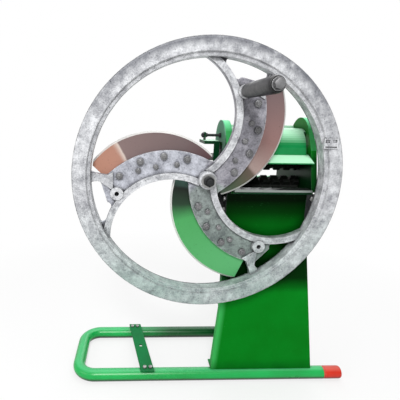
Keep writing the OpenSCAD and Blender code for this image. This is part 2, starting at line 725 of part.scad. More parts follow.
boss_at = polar([boss_dist, boss_angle]);
module at_arms(spots) for (a = arm_turns, p = spots) rotate([0, -a, 0]) translate([polar(p)[0], 0, polar(p)[1]]) children();

// Small cast pad on the face of the rim, with two pockets above and a groove below
pad_at = [307, 100];
module rim_pad() translate([pad_at[0], 0, pad_at[1]]) difference() {
    translate([-18, -2.5, -13]) cube([36, 11, 26]);
    translate([-16, -3.5, 1.5]) cube([12, 5, 7.5]);
    translate([3, -3.5, 2.5]) cube([11, 5, 7.5]);
    translate([-15, -3.5, -10.5]) cube([30, 5, 3]);
}

module flywheel() color(cast) placed() difference() {
    union() {
        rim();
        hub();
        plate_xz(arm_y, arm_back_y) arms_outline();
        for (a = arm_turns) rotate([0, -a, 0]) {
            plate_xz(rib_y, arm_y + 1) rib(rib_inset);
            plate_xz(branch_y, arm_y + 1) offset(delta = -rib_inset) branch();
            rod_along_y(boss_at[0], boss_at[1], boss_y, arm_back_y, boss_r);
        }
        rim_pad();
    }
    rod_along_y(0, 0, hub_front_y - 1, hub_back_y + 1, shaft_r);
    translate([-key_w / 2, hub_front_y + 4, 0]) cube([key_w, 36, shaft_r + 4]);
    at_arms(knife_bolts_at) rod_along_y(0, 0, arm_y - 1, arm_back_y + 1, knife_bolt_r);
    at_arms(set_screws_at) rod_along_y(0, 0, arm_y - 1, arm_back_y + 1, set_screw_r);
    rod_along_y(crank_x, crank_z, boss_y - 1, arm_back_y + 1, spindle_r);
    for (a = free_boss_turns) rotate([0, -a, 0])
        rod_along_y(boss_at[0], boss_at[1], boss_y - 1, arm_y + 6, spindle_r);
}

shaft_nose_r = 8;
nose_end_y = hub_front_y - 26;
seat_r = shaft_r - 0.5;
seat_start_y = rear_bearing_y + bearing_len + 16;
module main_shaft() color(dark) placed() difference() {
    turned_y() polygon([
        [0, nose_end_y], [shaft_nose_r - 1, nose_end_y], [shaft_nose_r, nose_end_y + 1], [shaft_nose_r, hub_front_y],
        [shaft_r, hub_front_y], [shaft_r, seat_start_y], [seat_r, seat_start_y],
        [seat_r, shaft_end_y - 1.5], [seat_r - 1.5, shaft_end_y], [0, shaft_end_y]]);
    translate([-key_w / 2, hub_front_y + 4, shaft_r - 4]) cube([key_w, 36, key_w]);
}

module hub_key() color(steel) placed() translate([-key_w / 2, hub_front_y + 4, shaft_r - 4]) cube([key_w, 36, key_w]);

hub_washer_r = 18;
module hub_washer() color(steel) placed() turned_y() translate([shaft_nose_r, hub_front_y - 3]) square([hub_washer_r - shaft_nose_r, 3]);

module hub_nut() color(dark) placed() difference() {
    hex_y(0, 0, hub_front_y - 17, hub_front_y - 3, 24);
    rod_along_y(0, 0, hub_front_y - 18, hub_front_y - 2, shaft_nose_r);
}

module shaft_collar() color(dark) placed() difference() {
    rod_along_y(0, 0, rear_bearing_y + bearing_len + 1, rear_bearing_y + bearing_len + 13, 21);
    rod_along_y(0, 0, rear_bearing_y, rear_bearing_y + bearing_len + 20, shaft_r);
}

// Knives, with a bevel ground on the outer edge

module knife_outline(ends) intersection() {
    difference() {
        polygon(concat(ends, [[-240, -14], [-60, -14]]));
        translate(knife_in_c) circle(r = knife_in_r, $fn = 144);
    }
    circle(r = rim_in_r - 2, $fn = 144);
}
knife_ends = [[-25, 24], [15, 60], [15, 160], [-345, 160], [-345, 74], [-262, -5]];
low_knife_ends = [[-28, 24], [15, 42], [53, 76], [60, 160], [-372, 160], [-250, -6]];

module knife(turn, ends, c, r) rotate([0, -turn, 0]) difference() {
    intersection() {
        plate_xz(arm_back_y, knife_back_y) knife_outline(ends);
        turned_y(c) polygon([
            [30, arm_back_y], [r - bevel_w, arm_back_y], [r, knife_back_y - 0.6],
            [r, knife_back_y], [30, knife_back_y]]);
    }
    for (p = knife_bolts_at) {
        rod_along_y(polar(p)[0], polar(p)[1], arm_back_y - 1, knife_back_y + 1, knife_bolt_r);
        translate([polar(p)[0], knife_back_y - 4, polar(p)[1]]) rotate([-90, 0, 0])
            cylinder(h = 4.01, r1 = knife_bolt_r, r2 = knife_bolt_r + 4, $fn = 48);
    }
}

module knife_left() color(knife_steel) placed() knife(arm_turns[0], knife_ends, knife_c, knife_r);
module knife_lower() color(knife_steel) placed() knife(arm_turns[1], low_knife_ends, low_knife_c, low_knife_r);
module knife_upper() color(knife_steel) placed() knife(arm_turns[2], knife_ends, knife_c, knife_r);

module knife_bolts() color(steel) placed() at_arms(knife_bolts_at) turned_y() polygon([
    [0, arm_y - 12], [knife_bolt_r - 1, arm_y - 12], [knife_bolt_r, arm_y - 11],
    [knife_bolt_r, knife_back_y - 4], [knife_bolt_r + 4, knife_back_y], [0, knife_back_y]]);

module knife_nuts() color(steel) placed() at_arms(knife_bolts_at) difference() {
    hex_y(0, 0, arm_y - 8, arm_y, 17);
    rod_along_y(0, 0, arm_y - 9, arm_y + 1, knife_bolt_r);
}

module set_screws() color(steel) placed() at_arms(set_screws_at) rod_along_y(0, 0, arm_y - 9, arm_back_y, set_screw_r);

module set_screw_nuts() color(steel) placed() at_arms(set_screws_at) difference() {
    hex_y(0, 0, arm_y - 6, arm_y, 13);
    rod_along_y(0, 0, arm_y - 7, arm_y + 1, set_screw_r);
}

// Crank handle

module handle_spindle() color(steel) placed() {
    rod_along_y(crank_x, crank_z, grip_front_y - 1 - grip_washer_t, arm_back_y, spindle_r);
    difference() {
        rod_along_y(crank_x, crank_z, grip_front_y - 1 - grip_washer_t, grip_front_y - 1, 13.4);
        rod_along_y(crank_x, crank_z, grip_front_y - 10, grip_front_y, spindle_r);
    }
    hex_y(crank_x, crank_z, handle_end_y, grip_front_y - 1 - grip_washer_t, 18);
}

module handle_locknut() color(steel) placed() difference() {
    hex_y(crank_x, crank_z, boss_y - 10, boss_y, 19);
    rod_along_y(crank_x, crank_z, boss_y - 11, boss_y + 1, spindle_r);
}

module handle_grip() color([0.12, 0.12, 0.13]) placed() turned_y([crank_x, crank_z]) polygon([
    [spindle_r + fit_gap, 6], [grip_r - 5, 6], [grip_r - 1.5, 3], [grip_r - 0.5, -20], [grip_r, -90],
    [grip_r, grip_front_y + 16], [grip_r - 1, grip_front_y + 4], [grip_r - 3.6, grip_front_y],
    [spindle_r + fit_gap, grip_front_y]]);

// Worm and worm wheels

function inv_deg(a) = tan(a) * 180 / PI - a;
function gear_half_angle(r) = r <= gear_base_r
    ? gear_half_angle(gear_base_r + 0.01)
    : gear_pitch_half - (inv_deg(acos(gear_base_r / r)) - inv_deg(20));
gear_base_r = gear_pitch_r * cos(20);
gear_pitch_half = (gear_m * PI / 2 - backlash / 2) / 2 / gear_pitch_r * 180 / PI;
gear_tip_r = gear_pitch_r + tooth_up;
gear_root_r = gear_pitch_r - tooth_down;
tooth_radii = [gear_root_r, gear_base_r, gear_pitch_r, (gear_pitch_r + gear_tip_r) / 2, gear_tip_r];

module gear_outline() polygon([for (t = [0:wheel_teeth - 1], i = [0:9])
    let (up = i < 5, r = tooth_radii[up ? i : 9 - i],
         a = 90 + t * 360 / wheel_teeth + (up ? -1 : 1) * gear_half_angle(r))
    polar([r, -a])]);

module worm_wheel(z) difference() {
    union() {
        translate([0, roller_y, z]) rotate([90, 0, 90]) rotate(-gear_twist / 2)
            linear_extrude(height = gear_w, twist = -gear_twist, slices = 4, center = true) gear_outline();
        rod_along_x(roller_y, z, -gear_w / 2 - 6, -gear_w / 2 + 1, 17);
    }
    rod_along_x(roller_y, z, -gear_w, gear_w, roller_shaft_r);
}

module lower_worm_wheel() color(dark) placed() worm_wheel(-roller_z);
module upper_worm_wheel() color(dark) placed() worm_wheel(roller_z);

worm_pitch_half = (gear_m * PI / 2 - backlash / 2) / 2;
function thread_angle(half) = 360 * half / worm_lead;
thread_tip_angle = thread_angle(worm_pitch_half - tooth_up * tan(20));
thread_root_angle = thread_angle(worm_pitch_half + tooth_down * tan(20));
worm_twist = 360 * worm_len / worm_lead;

module worm_outline() polygon([for (s = [0:worm_starts - 1], i = [0:10])
    let (tip = i < 5,
         a = tip ? thread_tip_angle * (i / 2 - 1)
             : i == 5 ? (thread_tip_angle + thread_root_angle) / 2
             : i == 10 ? 180 - (thread_tip_angle + thread_root_angle) / 2
             : thread_root_angle + (180 - 2 * thread_root_angle) * (i - 6) / 3,
         r = tip ? worm_tip_r : i == 5 || i == 10 ? (worm_tip_r + worm_root_r) / 2 : worm_root_r)
    polar([r, a + s * 180])]);

module worm() color(dark) placed() difference() {
    union() {
        translate([0, roller_y, 0]) rotate([-90, 0, 0]) rotate(-worm_twist / 2)
            linear_extrude(height = worm_len, twist = -worm_twist, slices = round(worm_twist / 15), center = true)
            worm_outline();
        rod_along_y(0, 0, roller_y + worm_len / 2 - 1, roller_y + worm_len / 2 + 12, 18);
    }
    rod_along_y(0, 0, roller_y - worm_len, roller_y + worm_len, shaft_r);
}

// Feed rollers: ribs along the roller, cut into pointed teeth by grooves round it

tip_land = 16;
root_land = 2;
rib_tip_w = 6.5;
valley_half = 3;
valley_top_half = roller_r * sin(180 / roller_ribs) - rib_tip_w / 2 + 0.5;
module roller_outline(shift) intersection() {
    polygon(concat([[0, -roller_len]], [for (i = [-5:5], k = [0:3])
        let (x = i * ring_pitch + shift,
             root = roller_r - groove_d)
        k == 0 ? [root, x - ring_pitch / 2 + root_land / 2]
        : k == 1 ? [roller_r, x - tip_land / 2]
        : k == 2 ? [roller_r, x + tip_land / 2]
        : [root, x + ring_pitch / 2 - root_land / 2]], [[0, roller_len]]));
    translate([0, -roller_len / 2]) square([roller_r + 1, roller_len]);
}

module roller(z, shift) difference() {
    translate([(throat_x + right_x) / 2, 0, 0]) turned_x(roller_y, z) roller_outline(shift);
    for (t = [0:roller_ribs - 1]) translate([0, roller_y, z]) rotate([(t + 0.5) * 360 / roller_ribs, 0, 0])
        plate_yz(throat_x, right_x) polygon([
            [-valley_half, roller_r - groove_d], [valley_half, roller_r - groove_d],
            [valley_top_half, roller_r + 1], [-valley_top_half, roller_r + 1]]);
    rod_along_x(roller_y, z, throat_x, right_x, roller_shaft_r);
}

upper_shift = 15;
lower_shift = 8.5;
module lower_roller() color(dark) placed() roller(-roller_z, lower_shift);
module upper_roller() color(dark) placed() roller(roller_z, upper_shift);

module roller_shaft(z, x_end) turned_x(roller_y, z) polygon([
    [0, -20], [roller_shaft_r - 1, -20], [roller_shaft_r, -19], [roller_shaft_r, x_end - 1],
    [roller_shaft_r - 1, x_end], [0, x_end]]);
module lower_roller_shaft() color(steel) placed() roller_shaft(-roller_z, right_x + cheek_t + 16);
module upper_roller_shaft() color(steel) placed() roller_shaft(roller_z, right_x + cheek_t + block_out + 4);

// Bearing blocks of the upper roller, which slide in the slots of the cheeks

module bearing_block(x0, x_rod, side) difference() {
    union() {
        translate([side < 0 ? x0 - block_out : x0, roller_y - 22, roller_z - 24])
            cube([block_out, rod_y + 11 - roller_y + 22, block_top_z - roller_z + 24]);
        translate([side < 0 ? x0 - 1 : x0 - cheek_t - block_gap, roller_y - block_half_w, roller_z - 22])
            cube([cheek_t + block_gap + 1, 2 * block_half_w, 44]);
    }
    rod_along_x(roller_y, roller_z, x0 - 40, x0 + 40, roller_shaft_r + fit_gap);
    rod_along_z(x_rod, rod_y, roller_z - 30, block_top_z + 1, rod_r);
}

module left_bearing_block() color(dark) placed() bearing_block(throat_x - cheek_t - block_gap, left_rod_x, -1);
module right_bearing_block() color(dark) placed() bearing_block(right_x + cheek_t + block_gap, right_rod_x, 1);

module draw_rods() color(steel) placed() for (x = [left_rod_x, right_rod_x])
    rod_along_z(x, rod_y, rod_low_z, block_top_z + 12, rod_r);

module draw_rod_nuts() color(steel) placed() for (x = [left_rod_x, right_rod_x]) difference() {
    union() {
        hex_z(x, rod_y, block_top_z, block_top_z + 8, 15);
        rod_along_z(x, rod_y, rod_nut_top_z, rod_nut_top_z + 2, rod_washer_r);
        hex_z(x, rod_y, rod_nut_top_z - 8, rod_nut_top_z, 15);
    }
    rod_along_z(x, rod_y, rod_low_z - 1, block_top_z + 13, rod_r);
}

// Pressure springs: one tube that winds up a helix, with rings of points across it

spring_sides = 6;
rings_per_curl = 8;
spring_rings = spring_curls * rings_per_curl;
spring_low_z = rod_nut_top_z + 2 + spring_wire / 2 + 0.1;
spring_high_z = lug_low_z - spring_wire / 2 - 0.1;
spring_rise = (spring_high_z - spring_low_z) / spring_rings;

function spring_point(i, k) = let (
        a = i * 360 / rings_per_curl,
        b = k * 360 / spring_sides,
        r = spring_r + spring_wire / 2 * cos(b))
    [r * cos(a), r * sin(a), spring_low_z + i * spring_rise + spring_wire / 2 * sin(b)];

module spring() polyhedron(
    points = [for (i = [0:spring_rings], k = [0:spring_sides - 1]) spring_point(i, k)],
    faces = concat(
        [for (k = [1:spring_sides - 2]) [0, k, k + 1]],
        [for (i = [0:spring_rings - 1], k = [0:spring_sides - 1], h = [0, 1])
            let (a = i * spring_sides + k, b = i * spring_sides + (k + 1) % spring_sides)
            h == 0 ? [a, a + spring_sides, b] : [b, a + spring_sides, b + spring_sides]],
        [for (k = [1:spring_sides - 2]) let (e = spring_rings * spring_sides) [e, e + k + 1, e + k]]));

// Least gap of the spring to itself, measured between its points one curl or more apart
spring_gap = min([for (i = [0:spring_rings - rings_per_curl + 1],
    j = [i + rings_per_curl - 1:min(spring_rings, i + rings_per_curl + 1)],
    k = [0:spring_sides - 1], m = [0:spring_sides - 1]) norm(spring_point(i, k) - spring_point(j, m))]);
echo("least gap of a spring to itself, mm", spring_gap);

module left_spring() color(steel) placed() translate([left_rod_x, rod_y, 0]) spring();
module right_spring() color(steel) placed() translate([right_rod_x, rod_y, 0]) spring();

base_tube();
tube_caps();
cross_bar();
cross_bar_bolts();
stand_front();
stand_rear();
stand_shelf();
left_cheek();
left_ear_cover();
right_cheek();
right_bracket();
cheek_bolts();
front_bed();
feed_floor();
shear_plate();
shear_plate_screws();
hood();
hood_bolts();
front_bearing();
rear_bearing();
shaft_bushes();
bearing_bolts();
roller_bushes();
gear_guard();
guard_rod();
spring_lugs();
flywheel();
main_shaft();
hub_key();
hub_washer();
hub_nut();
worm();
shaft_collar();
knife_left();
knife_lower();
knife_upper();
knife_bolts();
knife_nuts();
set_screws();
set_screw_nuts();
handle_spindle();
handle_locknut();
handle_grip();
lower_roller();
lower_roller_shaft();
lower_worm_wheel();
upper_roller();
upper_roller_shaft();
upper_worm_wheel();
left_bearing_block();
right_bearing_block();
draw_rods();
draw_rod_nuts();
left_spring();
right_spring();
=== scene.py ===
# Chaff cutter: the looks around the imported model

import json
import math
import bpy
from mathutils import Matrix, Vector


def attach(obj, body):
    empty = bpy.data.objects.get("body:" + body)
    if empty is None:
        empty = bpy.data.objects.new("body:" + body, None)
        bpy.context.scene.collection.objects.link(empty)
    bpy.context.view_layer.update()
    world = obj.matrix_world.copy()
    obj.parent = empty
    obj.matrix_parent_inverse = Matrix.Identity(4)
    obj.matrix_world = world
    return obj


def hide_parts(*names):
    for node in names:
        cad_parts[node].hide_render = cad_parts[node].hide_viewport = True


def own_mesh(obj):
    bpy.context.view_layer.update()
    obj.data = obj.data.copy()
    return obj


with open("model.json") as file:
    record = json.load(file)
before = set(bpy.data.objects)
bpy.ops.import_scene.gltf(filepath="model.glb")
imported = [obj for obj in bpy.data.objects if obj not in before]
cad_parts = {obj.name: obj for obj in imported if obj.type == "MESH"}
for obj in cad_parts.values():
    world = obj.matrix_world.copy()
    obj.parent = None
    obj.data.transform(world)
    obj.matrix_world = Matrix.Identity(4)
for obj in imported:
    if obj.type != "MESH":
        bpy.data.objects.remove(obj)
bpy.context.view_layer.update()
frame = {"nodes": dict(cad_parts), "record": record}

bpy.ops.object.select_all(action="DESELECT")
print("frame loaded")

mm = 0.001
shaftAt = Vector((-0.041, -0.0755, 0.6435))  # where the shaft meets the plane of the rim's front face
armTurns = (0, 120, 240)  # degrees, left, lower and upper arm, counted against the clock


def fromShaft(x, y, z):
    # a place given in millimetres from the shaft, as metres in the frame
    return Vector((x * mm, y * mm, z * mm)) + shaftAt


def onArm(distance, angle, turn, y):
    # a place on an arm: distance from the shaft and angle, with the arm turned
    bearing = math.radians(angle + turn)
    return fromShaft(distance * math.cos(bearing), y, distance * math.sin(bearing))


# Node trees

def addNode(tree, kind, inputs=None, **settings):
    made = tree.nodes.new(kind)
    for name, value in settings.items():
        setattr(made, name, value)
    for name, value in (inputs or {}).items():
        if isinstance(value, bpy.types.NodeSocket):
            tree.links.new(value, made.inputs[name])
        else:
            made.inputs[name].default_value = value
    return made


def mathNode(tree, operation, first, second=0.0):
    return addNode(tree, "ShaderNodeMath", {0: first, 1: second}, operation=operation).outputs[0]


def mixColour(tree, factor, first, second, blend="MIX"):
    made = addNode(tree, "ShaderNodeMix", {"Factor": factor}, data_type="RGBA", blend_type=blend)
    for socket, value in ((made.inputs[6], first), (made.inputs[7], second)):
        if isinstance(value, bpy.types.NodeSocket):
            tree.links.new(value, socket)
        else:
            socket.default_value = value
    return made.outputs[2]


def rampNode(tree, factor, stops):
    made = addNode(tree, "ShaderNodeValToRGB", {"Fac": factor})
    made.color_ramp.interpolation = "LINEAR"
    for i, (place, colour) in enumerate(stops):
        stop = made.color_ramp.elements[i] if i < 2 else made.color_ramp.elements.new(place)
        stop.position = place
        stop.color = colour if len(colour) == 4 else (*colour, 1)
    return made.outputs[0]


def rangeNode(tree, value, fromLow, fromHigh, toLow=0.0, toHigh=1.0):
    return addNode(tree, "ShaderNodeMapRange", {
        "Value": value, "From Min": fromLow, "From Max": fromHigh,
        "To Min": toLow, "To Max": toHigh}).outputs[0]


def newGroup(name, inputs, outputs):
    group = bpy.data.node_groups.new(name, "ShaderNodeTree")
    for label, kind, value in inputs:
        socket = group.interface.new_socket(name=label, in_out="INPUT", socket_type=kind)
        if value is not None:
            socket.default_value = value
    for label, kind in outputs:
        group.interface.new_socket(name=label, in_out="OUTPUT", socket_type=kind)
    return group, group.nodes.new("NodeGroupInput").outputs, group.nodes.new("NodeGroupOutput").inputs


def shade(red, greenReflection, blue):
    # a colour as it looks on a screen, each part from 0 to 255
    return tuple((part / 255) ** 2.2 for part in (red, greenReflection, blue)) + (1,)


def partsOf(tree, vector):
    return addNode(tree, "ShaderNodeSeparateXYZ", {"Vector": vector}).outputs


def times(tree, first, second):
    return mathNode(tree, "MULTIPLY", first, second)


def apartFrom(tree, coords, place):
    return partsOf(tree, addNode(tree, "ShaderNodeVectorMath", {0: coords, 1: place},
                                 operation="SUBTRACT").outputs[0])


def reachOf(tree, away):
    # distance from an axis that runs along Y
    return mathNode(tree, "SQRT", mathNode(
        tree, "ADD", times(tree, away["X"], away["X"]), times(tree, away["Z"], away["Z"])))


def facingOf(tree):
    return partsOf(tree, addNode(tree, "ShaderNodeNewGeometry").outputs["Normal"])


def noiseOf(tree, vector, scale, detail=4.0, roughness=0.55):
    return addNode(tree, "ShaderNodeTexNoise", {
        "Vector": vector, "Scale": scale, "Detail": detail, "Roughness": roughness}).outputs["Fac"]


# Shared effects

def makeCastSkin():
    group, given, put = newGroup("castSkin", [
        ("Vector", "NodeSocketVector", None), ("Grain", "NodeSocketFloat", 260.0)],
        [("Height", "NodeSocketFloat"), ("Pits", "NodeSocketFloat"), ("Tone", "NodeSocketFloat")])
    fine = noiseOf(group, given["Vector"], given["Grain"], 5.0, 0.6)
    lumps = noiseOf(group, given["Vector"], mathNode(group, "MULTIPLY", given["Grain"], 0.22), 3.0, 0.5)
    blotch = noiseOf(group, given["Vector"], mathNode(group, "MULTIPLY", given["Grain"], 0.07), 4.0, 0.6)
    pits = rangeNode(group, fine, 0.36, 0.30)
    height = mathNode(group, "ADD", times(group, fine, 0.45), times(group, lumps, 0.75))
    group.links.new(mathNode(group, "SUBTRACT", height, times(group, pits, 0.3)), put["Height"])
    group.links.new(pits, put["Pits"])
    tone = mathNode(group, "ADD", times(group, fine, 0.3), mathNode(
        group, "ADD", times(group, lumps, 0.4), times(group, blotch, 0.3)))
    group.links.new(rangeNode(group, tone, 0.40, 0.60), put["Tone"])
    return group


# painted shade: a mask that is strongest where a surface has little open space round it, in corners and
# recesses
def makeCreviceShade():
    group, given, put = newGroup("creviceShade", [("Distance", "NodeSocketFloat", 0.008)],
                                 [("Mask", "NodeSocketFloat")])
    openness = addNode(group, "ShaderNodeAmbientOcclusion", {"Distance": given["Distance"]},
                       samples=6).outputs["AO"]
    group.links.new(rangeNode(group, openness, 0.85, 0.35), put["Mask"])
    return group


def makeEdgeRub():
    group, given, put = newGroup("edgeRub", [
        ("Vector", "NodeSocketVector", None), ("Width", "NodeSocketFloat", 0.002),
        ("Amount", "NodeSocketFloat", 0.5)], [("Mask", "NodeSocketFloat")])
    soft = addNode(group, "ShaderNodeBevel", {"Radius": given["Width"]}, samples=4)
    sharp = addNode(group, "ShaderNodeNewGeometry")
    agree = addNode(group, "ShaderNodeVectorMath", {0: soft.outputs[0], 1: sharp.outputs["Normal"]},
                    operation="DOT_PRODUCT").outputs["Value"]
    edge = rangeNode(group, agree, 0.995, 0.85)
    broken = rangeNode(group, noiseOf(group, given["Vector"], 90.0, 5.0, 0.7), 0.40, 0.62)
    group.links.new(mathNode(group, "MULTIPLY", mathNode(group, "MULTIPLY", edge, broken), given["Amount"]),
                    put["Mask"])
    return group


def makePaintSkin():
    group, given, put = newGroup("paintSkin", [
        ("Vector", "NodeSocketVector", None), ("Peel", "NodeSocketFloat", 420.0)],
        [("Height", "NodeSocketFloat"), ("Tone", "NodeSocketFloat"), ("Dust", "NodeSocketFloat")])
    peel = noiseOf(group, given["Vector"], given["Peel"], 2.0, 0.4)
    waves = noiseOf(group, given["Vector"], 14.0, 2.0, 0.4)
    patches = noiseOf(group, given["Vector"], 9.0, 5.0, 0.65)
    specks = rangeNode(group, noiseOf(group, given["Vector"], 330.0, 3.0, 0.6), 0.70, 0.76)
    height = mathNode(group, "ADD", mathNode(group, "MULTIPLY", peel, 0.25), waves)
    group.links.new(height, put["Height"])
    group.links.new(rangeNode(group, patches, 0.3, 0.7), put["Tone"])
    group.links.new(specks, put["Dust"])
    return group


def makeGrindLines():
    group, given, put = newGroup("grindLines", [
        ("Vector", "NodeSocketVector", None), ("Fineness", "NodeSocketFloat", 900.0)],
        [("Height", "NodeSocketFloat"), ("Tone", "NodeSocketFloat")])
    lines = noiseOf(group, given["Vector"], given["Fineness"], 4.0, 0.7)
    stains = noiseOf(group, given["Vector"], 25.0, 5.0, 0.6)
    group.links.new(lines, put["Height"])
    group.links.new(rangeNode(group, stains, 0.3, 0.7), put["Tone"])
    return group


castSkin = makeCastSkin()
creviceShade = makeCreviceShade()
edgeRub = makeEdgeRub()
paintSkin = makePaintSkin()
grindLines = makeGrindLines()


def useGroup(tree, group, **inputs):
    made = addNode(tree, "ShaderNodeGroup", node_tree=group)
    for name, value in inputs.items():
        if isinstance(value, bpy.types.NodeSocket):
            tree.links.new(value, made.inputs[name])
        else:
            made.inputs[name].default_value = value
    return made.outputs


def newMaterial(name, **shader):
    made = bpy.data.materials.new(name)
    made.use_nodes = True
    tree = made.node_tree
    bsdf = tree.nodes["Principled BSDF"]
    for label, value in shader.items():
        bsdf.inputs[label.replace("_", " ")].default_value = value
    coords = addNode(tree, "ShaderNodeTexCoord").outputs["Object"]
    return made, tree, bsdf, coords


def bumpInto(tree, bsdf, height, strength, distance, rounding=0.0008):
    soft = addNode(tree, "ShaderNodeBevel", {"Radius": rounding}, samples=4).outputs[0]
    bump = addNode(tree, "ShaderNodeBump", {"Height": height, "Strength": strength, "Distance": distance,
                                            "Normal": soft})
    tree.links.new(bump.outputs[0], bsdf.inputs["Normal"])


# Finishes

def paintMaterial(name, values, marks=None):
    made, tree, bsdf, coords = newMaterial(name, Specular_IOR_Level=values["specular"])
    skin = useGroup(tree, paintSkin, Vector=coords, Peel=420.0)
    rub = useGroup(tree, edgeRub, Vector=coords, Width=0.0018, Amount=values["wear"])["Mask"]
    creviceShadeMask = useGroup(tree, creviceShade, Distance=0.03)["Mask"]
    up = facingOf(tree)["Z"]
    colour = mixColour(tree, skin["Tone"], values["deep"], values["bright"])
    # painted highlight: faces turned upwards are mixed towards a pale tint
    upwardHighlight = rangeNode(tree, up, values["highlightFrom"], 0.95)
    colour = mixColour(tree, times(tree, upwardHighlight, values["highlightAmount"]), colour, values["highlightTint"])
    # painted shade: faces turned downwards are darkened
    colour = mixColour(tree, times(tree, rangeNode(tree, up, 0.0, -0.8), 0.8), colour, values["shadeColour"])
    if marks:
        colour = marks(tree, colour, coords)
    # painted shade in crevices and corners
    colour = mixColour(tree, times(tree, creviceShadeMask, 0.7), colour, values["shadeColour"])
    colour = mixColour(tree, skin["Dust"], colour, values["dust"])
    colour = mixColour(tree, rub, colour, values["metal"])
    tree.links.new(colour, bsdf.inputs["Base Color"])
    tree.links.new(rangeNode(tree, skin["Tone"], 0.0, 1.0, values["gloss"], values["gloss"] + 0.1),
                   bsdf.inputs["Roughness"])
    bumpInto(tree, bsdf, skin["Height"], 0.10, 0.0006)
    return made


def castMaterial(name, values, marks=None):
    made, tree, bsdf, coords = newMaterial(name, Specular_IOR_Level=values["specular"])
    skin = useGroup(tree, castSkin, Vector=coords, Grain=values["grain"])
    rub = useGroup(tree, edgeRub, Vector=coords, Width=0.003, Amount=values["wear"])["Mask"]
    creviceShadeMask = useGroup(tree, creviceShade, Distance=values["creviceReach"])["Mask"]
    colour = mixColour(tree, skin["Tone"], values["deep"], values["bright"])
    if marks:
        colour = marks(tree, colour, coords)
    colour = mixColour(tree, times(tree, skin["Pits"], values["pits"]), colour, values["dirtAndShade"])
    colour = mixColour(tree, rub, colour, values["metal"])
    # painted shade in crevices and round nuts, in the same dark colour as the pits
    colour = mixColour(tree, times(tree, creviceShadeMask, values["creviceDark"]), colour, values["dirtAndShade"])
    tree.links.new(colour, bsdf.inputs["Base Color"])
    tree.links.new(rangeNode(tree, skin["Tone"], 0.0, 1.0, values["rough"], values["rough"] + 0.15),
                   bsdf.inputs["Roughness"])
    bsdf.inputs["Metallic"].default_value = values["metallic"]
    bumpInto(tree, bsdf, skin["Height"], values["bump"], 0.0012, 0.0015)
    return made


def steelMaterial(name, values, marks=None):
    made, tree, bsdf, coords = newMaterial(name)
    stretched = addNode(tree, "ShaderNodeMapping", {
        "Vector": coords, "Scale": values["grainAlong"]}).outputs[0]
    lines = useGroup(tree, grindLines, Vector=stretched, Fineness=900.0)
    rub = useGroup(tree, edgeRub, Vector=coords, Width=0.001, Amount=values["wear"])["Mask"]
    creviceShadeMask = useGroup(tree, creviceShade, Distance=0.004)["Mask"]
    colour = mixColour(tree, lines["Tone"], values["deep"], values["bright"])
    if marks:
        colour = marks(tree, colour, coords)
    colour = mixColour(tree, rub, colour, values["metal"])
    # painted shade in crevices
    colour = mixColour(tree, times(tree, creviceShadeMask, 0.85), colour, values["dirtAndShade"])
    tree.links.new(colour, bsdf.inputs["Base Color"])
    rough = rangeNode(tree, lines["Height"], 0.3, 0.7, values["rough"] - 0.06, values["rough"] + 0.08)
    tree.links.new(rough, bsdf.inputs["Roughness"])
    bsdf.inputs["Metallic"].default_value = values["metallic"]
    bumpInto(tree, bsdf, lines["Height"], 0.15, 0.0002)
    return made


def knifeMaterial(name, turn, centre, edge, paintedShadingBands):
    # a knife with painted reflections in bands, which run across it at angles about the centre of its
    # cutting edge
    made, tree, bsdf, coords = newMaterial(name, Metallic=0.25, Specular_IOR_Level=0.35)
    bearing = math.radians(turn)
    middle = fromShaft(centre[0] * math.cos(bearing) - centre[1] * math.sin(bearing), 0,
                       centre[0] * math.sin(bearing) + centre[1] * math.cos(bearing))
    away = apartFrom(tree, coords, middle)
    angle = times(tree, mathNode(tree, "ARCTAN2", away["Z"], away["X"]), 1 / math.tau)
    angle = mathNode(tree, "SUBTRACT", angle, turn / 360)
    lines = useGroup(tree, grindLines, Vector=coords, Fineness=500.0)
    angle = mathNode(tree, "ADD", mathNode(tree, "FRACT", angle),
                     rangeNode(tree, lines["Tone"], 0, 1, -0.002, 0.002))
    colour = rampNode(tree, angle, [(place / 360, shade(*tone)) for place, tone in paintedShadingBands])
    radius = reachOf(tree, away)
    ground = rangeNode(tree, radius, (edge - 5.2) * mm, (edge - 4.6) * mm)
    colour = mixColour(tree, times(tree, ground, 0.8), colour, shade(225, 225, 222))
    spots = rangeNode(tree, noiseOf(tree, coords, 260.0, 3.0, 0.6), 0.66, 0.72)
    colour = mixColour(tree, times(tree, spots, 0.5), colour, shade(30, 34, 30))
    tree.links.new(colour, bsdf.inputs["Base Color"])
    tree.links.new(rangeNode(tree, lines["Height"], 0.3, 0.7, 0.30, 0.44), bsdf.inputs["Roughness"])
    bumpInto(tree, bsdf, lines["Height"], 0.12, 0.0002, 0.0003)
    return made


standMarkValues = {
    # height of each band in metres and how bright the paint stays there under the painted shadow
    "paintedShadingBands": [(0.180, 1.0), (0.298, 1.0), (0.318, 0.55), (0.345, 0.12), (0.400, 0.10), (0.425, 0.32),
              (0.470, 0.60), (0.510, 0.55), (0.545, 0.16), (0.580, 0.02), (0.600, 0.02)],
    "footAt": 0.038, "edgeLow": 0.009, "edgeHigh": 0.025, "bendAt": 0.2415, "stripWidth": 0.020,
    "stripFade": 0.006, "foldHighlight": shade(80, 200, 110), "foot": shade(2, 80, 24),
}
throatShadeValues = {
    # between these heights the painted shade ends; the cheeks' inner faces lie beyond left and right
    "darkTop": 0.715, "darkFull": 0.690, "left": (0.06, 0.05), "right": (0.24, 0.25),
    "front": 0.75, "depth": 0.95, "shade": shade(6, 34, 20),
}
baseShadeValues = {"rear": (0.12, 0.19), "towardsStand": (-0.28, -0.10), "dark": shade(0, 30, 8)}
gripMarkValues = {"frontEnd": (-0.2555, -0.2585), "below": (0.1, -0.5), "depth": 0.9,
                  "black": shade(12, 11, 13)}
